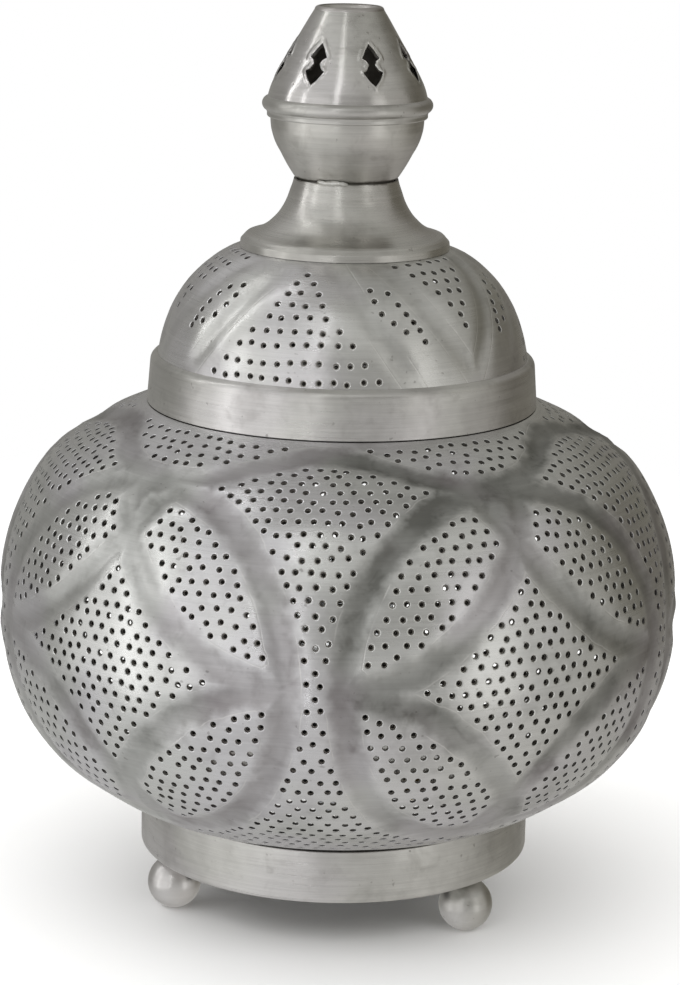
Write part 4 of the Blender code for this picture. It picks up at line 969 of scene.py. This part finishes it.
class GlobePattern:
    """Circles drawn with one compass setting on the globe, and the fields that they part."""

    def __init__(self, profile):
        self.profile = profile
        self.half = math.pi / REPEATS
        self.centres = {}
        for name, azimuth, z in (("middle", self.half, CIRCLE_MID_Z), ("before", -self.half, CIRCLE_MID_Z),
                                 ("upper", 0.0, CIRCLE_UP_Z), ("upper_next", 2 * self.half, CIRCLE_UP_Z),
                                 ("lower", 0.0, CIRCLE_LOW_Z), ("lower_next", 2 * self.half, CIRCLE_LOW_Z)):
            self.centres[name] = profile.place(azimuth, profile.length_at(z))

    def away(self, azimuth, s):
        """How far places lie outside each circle."""
        here = self.profile.place(azimuth, s)
        return {name: np.linalg.norm(here - c, axis=-1) - COMPASS for name, c in self.centres.items()}

    def arch(self, azimuth):
        """Length down to the shallow arch over a fan."""
        z = SCALLOP_Z - SCALLOP_RISE * (1 - np.cos(azimuth * math.pi / (2 * self.half)) ** 2)
        return np.interp(-z, -self.profile.z, self.profile.s)

    def read(self, azimuth, s):
        """Distance to the nearest groove, and the number of the field: 0 where the metal is plain."""
        azimuth, s = np.asarray(azimuth, float), np.asarray(s, float)
        away = self.away(azimuth, s)
        inside = away["middle"] < 0
        rings = np.abs(np.stack([away[name] for name in ("upper", "upper_next", "lower", "lower_next")]))
        within = np.minimum(rings.min(axis=0), np.abs(away["middle"]))
        below = s - self.arch(azimuth)
        outer = np.minimum(np.abs(away["middle"]), np.abs(away["before"]))
        outer = np.minimum(outer, np.abs(below) * 0.92)
        uppers = (away["upper"] < 0).astype(int) + (away["upper_next"] < 0)
        lowers = (away["lower"] < 0).astype(int) + (away["lower_next"] < 0)
        kind = np.where((uppers == 0) & (lowers == 0), 1, np.where((uppers == 1) & (lowers == 0), 2,
                        np.where((uppers == 0) & (lowers == 1), 3, 0)))
        outside = np.where(below < 0, 6, np.where(self.profile.height(s) > CIRCLE_MID_Z, 4, 5))
        return np.where(inside, within, outer), np.where(inside, kind, outside)

    def distance(self, azimuth, s):
        return self.read(azimuth, s)[0]

    def patina_and_shade_distance(self, azimuth, s):
        """Distance to the nearest groove for the patina and painted shade, where the plain crossings count as
        grooves too.
        """
        distance, kind = self.read(azimuth, s)
        return np.where(kind > 0, distance, np.minimum(distance, 0.3 * GROOVE_HALF))

    def relief(self, azimuth, s):
        """Offset of the embossed surface from the plain profile."""
        distance = self.distance(azimuth, s)
        z = self.profile.height(s)
        top = np.clip((SHOULDER_Z - GROOVE_END_TOP - z) / GROOVE_FADE_TOP, 0, 1)
        foot = np.clip((z - GLOBE_FOOT_Z - GROOVE_END_FOOT) / GROOVE_FADE_FOOT, 0, 1)
        return -GROOVE_DEPTH * np.exp(-1.6 * (distance / GROOVE_HALF) ** 2) * top * foot


def globe_holes(profile, pattern):
    """Centres of the holes in half a repeat."""
    half = pattern.half
    seeds = []
    for axis, kinds in ((half, (1, 2, 3, 6)), (0.0, (4, 5))):
        rows = int(profile.total / ROW_PITCH)
        middle = profile.length_at(CIRCLE_MID_Z)
        for row in range(-rows, rows):
            s = middle + row * ROW_PITCH
            if not SEEDS_TOP < s < profile.total - SEEDS_FOOT:
                continue
            r = float(profile.radius(s))
            for column in range(-1, int(half * r / HOLE_PITCH) + 1):
                away = (column + 0.5 * (row % 2)) * HOLE_PITCH / r
                azimuth = abs(axis - away)
                if away < 0 or azimuth > half:
                    continue
                distance, kind = pattern.read(azimuth, s)
                if int(kind) in kinds and distance > SEED_MARGIN:
                    if 0 < min(azimuth, half - azimuth) * r < HOLE_PITCH * 0.30:
                        azimuth = 0.0 if azimuth < half / 2 else half
                    seeds.append((azimuth, s))
    azimuth, s = spread(profile, half, seeds, pattern.distance, HOLE_MARGIN)
    s = np.clip(s, HOLES_TOP, profile.total - HOLES_FOOT)
    chosen = []
    for a, t in sorted(zip(azimuth, s), key=lambda p: (0 < p[0] < half, p[1], p[0])):
        r = float(profile.radius(t))
        beside_axis = 0 < min(a, half - a) * r < HOLE_GAP / 2
        if not beside_axis and all(math.hypot((a - b) * r, t - u) > HOLE_GAP for b, u in chosen):
            chosen.append((a, t))
    return chosen


def make_globe():
    """The pierced and embossed globe, with its lining, its mouth and its foot rim."""
    profile = globe_profile()
    pattern = GlobePattern(profile)
    cuts = [(a, s, ROUND_HOLE, LINING_HOLE) for a, s in globe_holes(profile, pattern)]
    layout = (profile, REPEATS, PATTERN_AZIMUTH, pattern.relief, GLOBE_DRIFT, JITTER)
    pierced_pair("globe", layout, cuts, GLOBE_COLUMNS, GLOBE_GRAINS, "base", "globe", groove=pattern.patina_and_shade_distance)

    inner_r, under_z = UPSTAND_R - SHEET, SHOULDER_Z - SHEET
    mouth = [(UPSTAND_R, SHOULDER_Z, 0.0006), (COLLAR_R, SHOULDER_Z, 0), (COLLAR_R - 0.0002, under_z, 0),
             (inner_r, under_z, 0.0012), (inner_r, UPSTAND_Z, 0.0004), (UPSTAND_R, UPSTAND_Z, 0.0004)]
    turned("globe_mouth", rounded(mouth, 0.0004, 3, True), silver("globe mouth"), "base")
    foot_z, flat_z = GLOBE_FOOT_Z + FOOT_RIM_RISE, GLOBE_FOOT_Z + SHEET
    lead_r, hole_r = RING_R - FOOT_RIM_LEAD, RING_R - FOOT_RIM_W
    rim = [(RING_R, foot_z, 0), (lead_r, GLOBE_FOOT_Z, 0.001), (hole_r, GLOBE_FOOT_Z, 0.0004),
           (hole_r, flat_z, 0.0004), (lead_r, flat_z, 0.001), (RING_R - 0.0004, foot_z + SHEET, 0)]
    turned("globe_foot_rim", rounded(rim, 0.0004, 3, True), silver("globe foot"), "base")


# Dome

def dome_points():
    """Outer profile of the dome from its mouth to the foot that stands on the collar."""
    swell = smooth_curve(swelling((DOME_MOUTH_R, DOME_Z1), (DOME_FOOT_R, DOME_Z0), DOME_SWELL), 20)
    return swell + [(DOME_FOOT_R + 0.15 * DOME_SKIRT, DOME_Z0 - DOME_SKIRT)]


def make_dome():
    """The pierced dome: upright triangles, hanging triangles and slanted leaves."""
    profile = Profile(dome_points(), DOME_SOFTEN)
    half = math.pi / DOME_REPEATS
    total = profile.total
    foot_s = total - DOME_GROOVE_FOOT

    def beside(azimuth, s, top_azimuth, foot_azimuth, rise):
        """How far places lie beside a slanted groove."""
        a0, a1 = math.radians(top_azimuth), math.radians(foot_azimuth)
        s0, s1 = DOME_GROOVE_TOP, foot_s - rise
        middle = a0 + (a1 - a0) * np.clip((s - s0) / (s1 - s0), -0.4, 1.4)
        slant = math.hypot((a1 - a0) * DOME_SLANT_R, s1 - s0) / (s1 - s0)
        return np.abs((azimuth - middle) * profile.radius(s) / slant)

    def distance(azimuth, s):
        azimuth, s = np.asarray(azimuth, float), np.asarray(s, float)
        return np.minimum(*(beside(azimuth, s, *groove) for groove in DOME_GROOVES))

    def relief(azimuth, s):
        fade = np.clip((total - s) / DOME_END_FOOT, 0, 1) * np.clip((s - DOME_START_TOP) / DOME_END_TOP, 0, 1)
        return -DOME_GROOVE_DEPTH * np.exp(-1.3 * (distance(azimuth, s) / DOME_GROOVE_HALF) ** 2) * fade

    def level(share):
        """Length down to a share of the dome's height."""
        return profile.length_at(DOME_Z0 + share * DOME_H)

    holes = []
    for axis, rows in ((0.0, UPRIGHT_ROWS), (half, HANGING_ROWS)):
        for share, count in rows:
            s = level(share)
            pitch = DOME_HOLE_PITCH / float(profile.radius(s))
            holes += [(abs(axis - ((count - 1) / 2 - k) * pitch), s) for k in range((count + 1) // 2)]
    for (a0, share0), (a1, share1), count, bow in LEAF_ROWS:
        for t in (k / (count - 1) for k in range(count)):
            azimuth = a0 + (a1 - a0) * t + bow * math.sin(math.pi * t)
            holes.append((math.radians(azimuth), level(share0 + (share1 - share0) * t)))
    clear = []
    for a, s in sorted(holes, key=lambda p: (0 < p[0] < half, p)):
        r = float(profile.radius(s))
        if all(math.hypot((a - b) * r, s - t) > DOME_HOLE_GAP for b, t in clear):
            clear.append((a, s))
    cuts = [(a, s, ROUND_HOLE, LINING_HOLE) for a, s in clear]
    layout = (profile, DOME_REPEATS, DOME_AZIMUTH, relief, DOME_DRIFT, JITTER)
    pierced_pair("dome", layout, cuts, DOME_COLUMNS, DOME_GRAINS, "lid", "lid_dome", groove=distance)


# Finial

def motif_outline():
    """Half of a double arrow as (across, down) offsets from its top to its foot, along its right side."""
    fine = []
    for (x0, y0, steps), (x1, y1, _) in zip(MOTIF, MOTIF[1:]):
        a, b = np.array((x0, y0)), np.array((x1, y1))
        fine += [a + (b - a) * k / steps for k in range(steps)]
    return np.array(fine + [MOTIF[-1][:2]])


def on_dome(radius):
    """Height of the dome's outside at a radius near its mouth."""
    profile = Profile(dome_points(), DOME_SOFTEN)
    return float(profile.height(np.interp(radius, profile.r, profile.s)))


def neck_foot_z():
    return on_dome(NECK_FOOT_R - SHEET) + CLEAR


def make_neck_and_bowl():
    """The flared neck on the dome, and the bowl that is soldered on it."""
    z0 = neck_foot_z()
    top_z = z0 + NECK_H
    flare_z = z0 + NECK_LIP_H
    joint_z = top_z + FINIAL_GAP / 2
    flare = swelling((NECK_TOP_R, flare_z), (NECK_FOOT_R - NECK_STEP, top_z), NECK_FLARE)
    outer = smooth_curve(flare, 5)
    outer += rounded([outer[-1], (NECK_FOOT_R - NECK_STEP, flare_z - 0.0004),
                      (NECK_FOOT_R - NECK_STEP + 0.0004, z0 + 0.0032), (NECK_FOOT_R - 0.0003, z0 + 0.0020),
                      (NECK_FOOT_R, on_dome(NECK_FOOT_R) + 0.0001, 0)], 0.0007, 4)[1:]
    turned("neck_flare", walled(outer), silver("neck silver", joint_z), "lid", ("lid_neck",))

    bowl_z = top_z + FINIAL_GAP
    rim_z = bowl_z + BOWL_H
    body = smooth_curve(swelling((NECK_TOP_R, bowl_z), (BOWL_R, rim_z), BOWL_SWELL), 5)
    spigot_r = NECK_TOP_R - SHEET - 2 * CLEAR
    outer = [(BOWL_R, rim_z + BOWL_LAP)] + body
    outer += rounded([body[-1], (NECK_TOP_R - 0.0002, bowl_z - 0.0002), (spigot_r, bowl_z - 0.0004),
                      (spigot_r, bowl_z - SPIGOT_L)], 0.0003, 3)[1:]
    turned("bowl", walled(outer), silver("bowl silver", joint_z), "lid", ("finial_bowl",))


def make_cone():
    """The pierced cone with its lip and its rolled bead."""
    rim_z = neck_foot_z() + NECK_H + FINIAL_GAP + BOWL_H
    top_z = rim_z + SKIRT_H + 2 * BEAD_R + CONE_H
    foot_z = top_z - CONE_H
    cone_points = swelling((CONE_TOP_R, top_z), (CONE_FOOT_R, foot_z), CONE_SWELL)
    profile = Profile(smooth_curve(cone_points, 12), CONE_SOFTEN)
    middle_s = profile.length_at(top_z - CONE_H * MOTIF_PLACE)
    right = motif_outline()

    def reach(azimuth, s):
        """Distance from the motif's outline."""
        dx = np.abs(np.asarray(azimuth, float)) * profile.radius(s)
        dy = np.asarray(s, float) - middle_s
        best = np.full(np.shape(dx), 1.0)
        for a, b in zip(right, right[1:]):
            run = b - a
            t = np.clip(((dx - a[0]) * run[0] + (dy - a[1]) * run[1]) / (run @ run), 0, 1)
            best = np.minimum(best, np.hypot(dx - a[0] - t * run[0], dy - a[1] - t * run[1]))
        return best

    def relief(azimuth, s):
        """A soft raised rim round each cut-out."""
        return MOTIF_RIM_H * np.exp(-((reach(azimuth, s) - MOTIF_RIM_AWAY) / MOTIF_RIM_HALF) ** 2)

    def inside(azimuth, s):
        """The lining is plain, one sheet's thickness further in."""
        return np.full(np.shape(s), -SHEET)

    loop = np.concatenate([right, (right[1:-1] * (-1, 1))[::-1]])
    cuts = [(0.0, middle_s, [loop], [loop * 1.02])]
    layout = (profile, CONE_REPEATS, CONE_AZIMUTH, relief, 0.0, 0.0)
    pierced_pair("cone", layout, cuts, CONE_COLUMNS, CONE_GRAINS, "lid", "finial_cone", inside,
                 dish=CONE_DISH, wall=CONE_WALL)

    lip = arc(CONE_TOP_R - LIP_INSET, top_z - LIP_R, LIP_R, -14, 100, 8)
    lip += [(CONE_HOLE_R + 0.0012, top_z - 0.0002), (CONE_HOLE_R + 0.0004, top_z - 0.0007),
            (CONE_HOLE_R, top_z - 0.0016), (CONE_HOLE_R + 0.0006, top_z - 0.0022),
            (CONE_TOP_R - 0.0023, top_z - 0.0030)]
    turned("cone_lip", lip, silver("lip silver"), "lid")
    skirt_r = BOWL_R + CLEAR + SHEET
    outer = [(CONE_FOOT_R - 0.0003, foot_z + 0.0002)]
    outer += arc(CONE_FOOT_R - 0.0008, rim_z + SKIRT_H + BEAD_R, BEAD_R + 0.0001, 72, -66, 12)
    outer += rounded([outer[-1], (skirt_r, rim_z + SKIRT_H - 0.0007), (skirt_r, rim_z + 0.0003),
                      (skirt_r - 0.0003, rim_z)], 0.0005, 3)[1:]
    turned("cone_bead", walled(outer, SHEET * 0.9), silver("bead silver"), "lid")


def make_solder():
    """The solder that bridges the joint under the bowl, thin and ragged at its edges."""
    joint_z = neck_foot_z() + NECK_H + FINIAL_GAP / 2
    bpy.ops.object.select_all(action="DESELECT")
    bpy.ops.mesh.primitive_grid_add(x_subdivisions=48, y_subdivisions=12, size=2)
    piece = bpy.context.active_object
    piece.name = piece.data.name = "solder_bridge"
    for vertex in piece.data.vertices:
        t, u, _ = vertex.co
        azimuth = math.radians(SOLDER_AZIMUTH + 0.5 * SOLDER_SPAN * t)
        ragged = 0.82 + 0.12 * math.sin(9 * t + 1.0) + 0.06 * math.sin(23 * t)
        swell = max(1 - u ** 2, 0) ** 0.7 * max(1 - t ** 2, 0) ** 0.35
        lumps = 0.9 + 0.1 * math.sin(14 * t + 4 * u)
        radius = NECK_TOP_R - 0.0002 + 0.0009 * u ** 2 + SOLDER_T * swell * lumps
        height = joint_z + 0.00015 * math.sin(5 * t) + 0.5 * SOLDER_H * u * ragged * (1 - t ** 4)
        vertex.co = (radius * math.sin(azimuth), -radius * math.cos(azimuth), height)
    piece.data.shade_smooth()
    dress(piece, silver("solder silver"), "lid", ("neck_solder",))


# Plain pieces

def make_collar():
    """The plain collar band with its rounded shoulder."""
    seat_z = DOME_Z0 - DOME_SKIRT
    outer = rounded([(COLLAR_TOP_R - COLLAR_LIP_W, seat_z), (DOME_FOOT_R + 0.0008, seat_z, 0.0004),
                     (COLLAR_TOP_R + 0.0002, seat_z - COLLAR_SHOULDER, COLLAR_ROUND),
                     (COLLAR_R, COLLAR_Z0 + 0.0002, 0.0003), (COLLAR_R - 0.0004, COLLAR_Z0)], 0.0003, 6)
    turned("collar_band", walled(outer), silver("collar silver"), "lid", ("lid_collar",),
           segments=FINE_SEGMENTS)


def make_base():
    """The base ring, which sags a little at its front, and the ball feet."""
    inner, lip = RING_R - RING_SHEET, RING_R - FLANGE_W
    low, high = RING_Z0 + RING_SHEET, RING_Z1 - RING_SHEET
    outline = [(RING_R, RING_Z1, 0.0005), (RING_R, RING_Z0, 0.0012), (lip, RING_Z0, 0.0003),
               (lip, low, 0.0003), (inner, low, 0.0006), (inner, high, 0.0006), (lip, high, 0.0003),
               (lip, RING_Z1, 0.0003)]
    band = turned("base_band", rounded(outline, 0.0004, 5, True), silver("ring silver"), "base",
                  ("base_ring",), segments=FINE_SEGMENTS)
    for vertex in band.data.vertices:
        turn = math.degrees(math.atan2(vertex.co.x, -vertex.co.y))
        bend = max(0.0, 1 - ((turn - RING_SAG_AZIMUTH) / RING_SAG_SPAN) ** 2) ** 1.5
        share = min(max((vertex.co.z - RING_Z0) / RING_H, 0.0), 1.0)
        vertex.co.z -= RING_SAG * bend * share ** 4
    flat = -math.degrees(math.acos(FOOT_FLAT_R / BALL_R))
    top = math.degrees(math.acos(FOOT_NECK_R / BALL_R))
    outline = [(FOOT_NECK_R, RING_Z0 - CLEAR)] + arc(0.0, BALL_Z, BALL_R, top, flat, 26)
    look = silver("foot silver")
    radius = RING_R - FOOT_INSET
    for number in (1, 2, 3):
        a = math.radians(FOOT_AZIMUTH + 120 * (number - 1))
        turned(f"ball_foot_{number}", outline, look, "base", (f"foot_{number}",), segments=FOOT_SEGMENTS,
               closed=False, centre=(radius * math.sin(a), -radius * math.cos(a)))


# Carried-over nodes

def plain_look(name, color, roughness, metallic=0.0, noise_scale=220.0, depth=0.00006, vary=0.12):
    """A simple worn surface for the pieces inside."""
    made, n, shader = new_material(name, color, metallic, roughness)
    place = n.place()
    grain = n.noise(place, noise_scale, 4.0, 0.6)
    spots = n.noise(place, noise_scale * 0.22, 3.0, 0.6)
    low = tuple(c * (1 - vary) for c in color)
    high = tuple(min(c * (1 + vary), 1.0) for c in color)
    n.put(n.mix(spots, (*low, 1), (*high, 1)), shader.inputs["Base Color"])
    n.put(n.span(grain, 0.3, 0.7, roughness * 0.8, min(roughness * 1.25, 1.0)), shader.inputs["Roughness"])
    n.put(n.bump(grain, 0.4, depth), shader.inputs["Normal"])
    return made


def dress_nodes():
    """Give every node that stays its own finish."""
    looks = {
        "zinc_steel": plain_look("zinc plating", (0.55, 0.56, 0.58), 0.34, 1.0),
        "bulb_tin": plain_look("bulb cap tin", (0.62, 0.62, 0.60), 0.30, 1.0),
        "solder": plain_look("dull solder", (0.50, 0.49, 0.46), 0.48, 1.0, 600.0, 0.00025),
        "bare_brass": plain_look("bare brass", (0.60, 0.45, 0.20), 0.36, 1.0),
        "black_thermoset": plain_look("black thermoset", (0.030, 0.030, 0.030), 0.36),
        "white_ceramic": plain_look("glazed ceramic", (0.82, 0.80, 0.76), 0.22),
        "black_rubber": plain_look("black rubber", (0.025, 0.025, 0.025), 0.70, 0.0, 500.0, 0.00012),
        "tungsten_wire": plain_look("tungsten wire", (0.25, 0.25, 0.26), 0.40, 1.0),
        "clear_glass": glass_look(),
    }
    slots = {row["node"]: row["material_slot"] for row in frame["record"]["subparts"]}
    for name, made in frame["nodes"].items():
        slot = slots.get(name)
        if slot in looks:
            made.data.materials.clear()
            made.data.materials.append(looks[slot])


def glass_look():
    """Clear bulb glass with faint streaks."""
    made, n, shader = new_material("bulb glass", (0.97, 0.98, 0.985), 0.0, 0.03)
    place = n.place()
    streak = n.noise(place, 60.0, 2.0, 0.5)
    n.put(n.mix(streak, (0.955, 0.97, 0.975, 1), (0.985, 0.99, 0.99, 1)), shader.inputs["Base Color"])
    n.put(n.bump(streak, 0.2, 0.0002), shader.inputs["Normal"])
    shader.inputs["Transmission Weight"].default_value = 1.0
    shader.inputs["IOR"].default_value = 1.5
    return made


# Stage

def soft_box(name, azimuth, elevation, distance, size, radiance, tint, aim=LAMP_MIDDLE):
    """A soft box that looks at the lamp, as bright as its radiance says."""
    data = bpy.data.lights.new(name, "AREA")
    data.shape = "RECTANGLE"
    data.size, data.size_y = size
    data.energy = radiance * math.pi * size[0] * size[1]
    data.color = tint
    made = bpy.data.objects.new(name, data)
    a, e = math.radians(azimuth), math.radians(elevation)
    back = Vector((math.sin(a) * math.cos(e), -math.cos(a) * math.cos(e), math.sin(e)))
    made.location = Vector(aim) + back * distance
    made.rotation_euler = back.to_track_quat("Z", "Y").to_euler()
    bpy.context.scene.collection.objects.link(made)
    return made


def make_floor():
    """A round pale floor that fades out into the white background, with lights of its own."""
    bpy.ops.object.select_all(action="DESELECT")
    bpy.ops.mesh.primitive_circle_add(vertices=96, radius=FLOOR_R, fill_type="NGON", enter_editmode=True)
    bpy.ops.mesh.select_all(action="SELECT")
    bpy.ops.mesh.inset(thickness=FLOOR_R / 2)
    bpy.ops.object.mode_set(mode="OBJECT")
    floor = bpy.context.active_object
    floor.name = floor.data.name = "floor"
    look, n, shader = new_material("pale floor", (0.86, 0.86, 0.86), 0.0, 0.9)
    place = n.place()
    grain = n.noise(place, 9.0, 3.0, 0.5)
    n.put(n.mix(grain, (0.85, 0.85, 0.85, 1), (0.87, 0.87, 0.87, 1)), shader.inputs["Base Color"])
    n.put(0.1, shader.inputs["Specular IOR Level"])
    reach = n.add("ShaderNodeVectorMath", {0: place}, operation="LENGTH").outputs["Value"]
    n.put(n.span(reach, *FLOOR_FADE, 1.0, 0.0), shader.inputs["Alpha"])
    floor.data.materials.append(look)
    floor.visible_glossy = False
    floor.visible_shadow = False
    lit = bpy.data.collections.new("floor only")
    lit.objects.link(floor)
    for row in FLOOR_LIGHTS:
        soft_box(*row, aim=(0, 0, 0)).light_linking.receiver_collection = lit


def make_surroundings():
    """A white background, and for the metal the tones of a plain room."""
    world = bpy.data.worlds.new("studio")
    bpy.context.scene.world = world
    world.use_nodes = True
    world.node_tree.nodes.clear()
    n = Nodes(world.node_tree)
    path = n.add("ShaderNodeLightPath")
    way = n.add("ShaderNodeTexCoord").outputs["Generated"]
    parts = n.add("ShaderNodeSeparateXYZ", {0: way}).outputs
    side = n.span(parts["X"], -0.75, 0.85)
    front = n.span(parts["Y"], 0.6, -0.9)
    room = n.mix(side, *WALL_TONE)
    room = n.mix(n.times(front, 0.45), room, FRONT_TONE)
    above = n.times(n.span(parts["Z"], 0.22, 0.72), n.span(parts["Y"], 0.45, -0.15, 0.5, 1.0))
    room = n.mix(n.times(above, 0.9), room, n.mix(side, *CEILING_TONE))
    room = n.mix(n.span(parts["Z"], 0.80, 0.97), room, ZENITH_TONE)
    level = n.times(n.span(parts["Z"], 0.30, -0.10), n.span(parts["Y"], 0.25, -0.75))
    room = n.mix(n.times(level, 0.75), room, LEVEL_TONE)
    below = n.times(n.span(parts["Z"], -0.10, -0.60), n.span(parts["Y"], 0.70, -0.50, 0.65, 1.0))
    room = n.mix(below, room, n.mix(side, *GROUND_TONE))
    sky = n.add("ShaderNodeBackground", {"Color": room, "Strength": 1.0})
    white = n.add("ShaderNodeBackground", {"Color": (1, 1, 1, 1), "Strength": 1.0})
    shown = n.math("MAXIMUM", path.outputs["Is Camera Ray"], path.outputs["Is Transmission Ray"])
    mixed = n.add("ShaderNodeMixShader", {0: shown, 1: sky.outputs[0], 2: white.outputs[0]})
    out = n.add("ShaderNodeOutputWorld")
    n.put(mixed.outputs[0], out.inputs[0])


def make_camera():
    """The photograph's camera."""
    data = bpy.data.cameras.new("camera")
    data.lens = LENS
    data.sensor_width = SENSOR
    camera = bpy.data.objects.new("camera", data)
    pitch, roll = math.radians(90 - CAMERA_DIP), math.radians(CAMERA_ROLL)
    turn = Matrix.Rotation(pitch, 4, "X") @ Matrix.Rotation(roll, 4, "Z")
    camera.matrix_world = Matrix.Translation(CAMERA_PLACE) @ turn
    bpy.context.scene.collection.objects.link(camera)
    bpy.context.scene.camera = camera


make_globe()
make_dome()
make_neck_and_bowl()
make_cone()
make_solder()
make_collar()
make_base()
dress_nodes()
make_floor()
make_surroundings()
for lamp_light in LAMP_LIGHTS:
    soft_box(*lamp_light)
make_camera()
bpy.context.scene.view_settings.view_transform = "Standard"
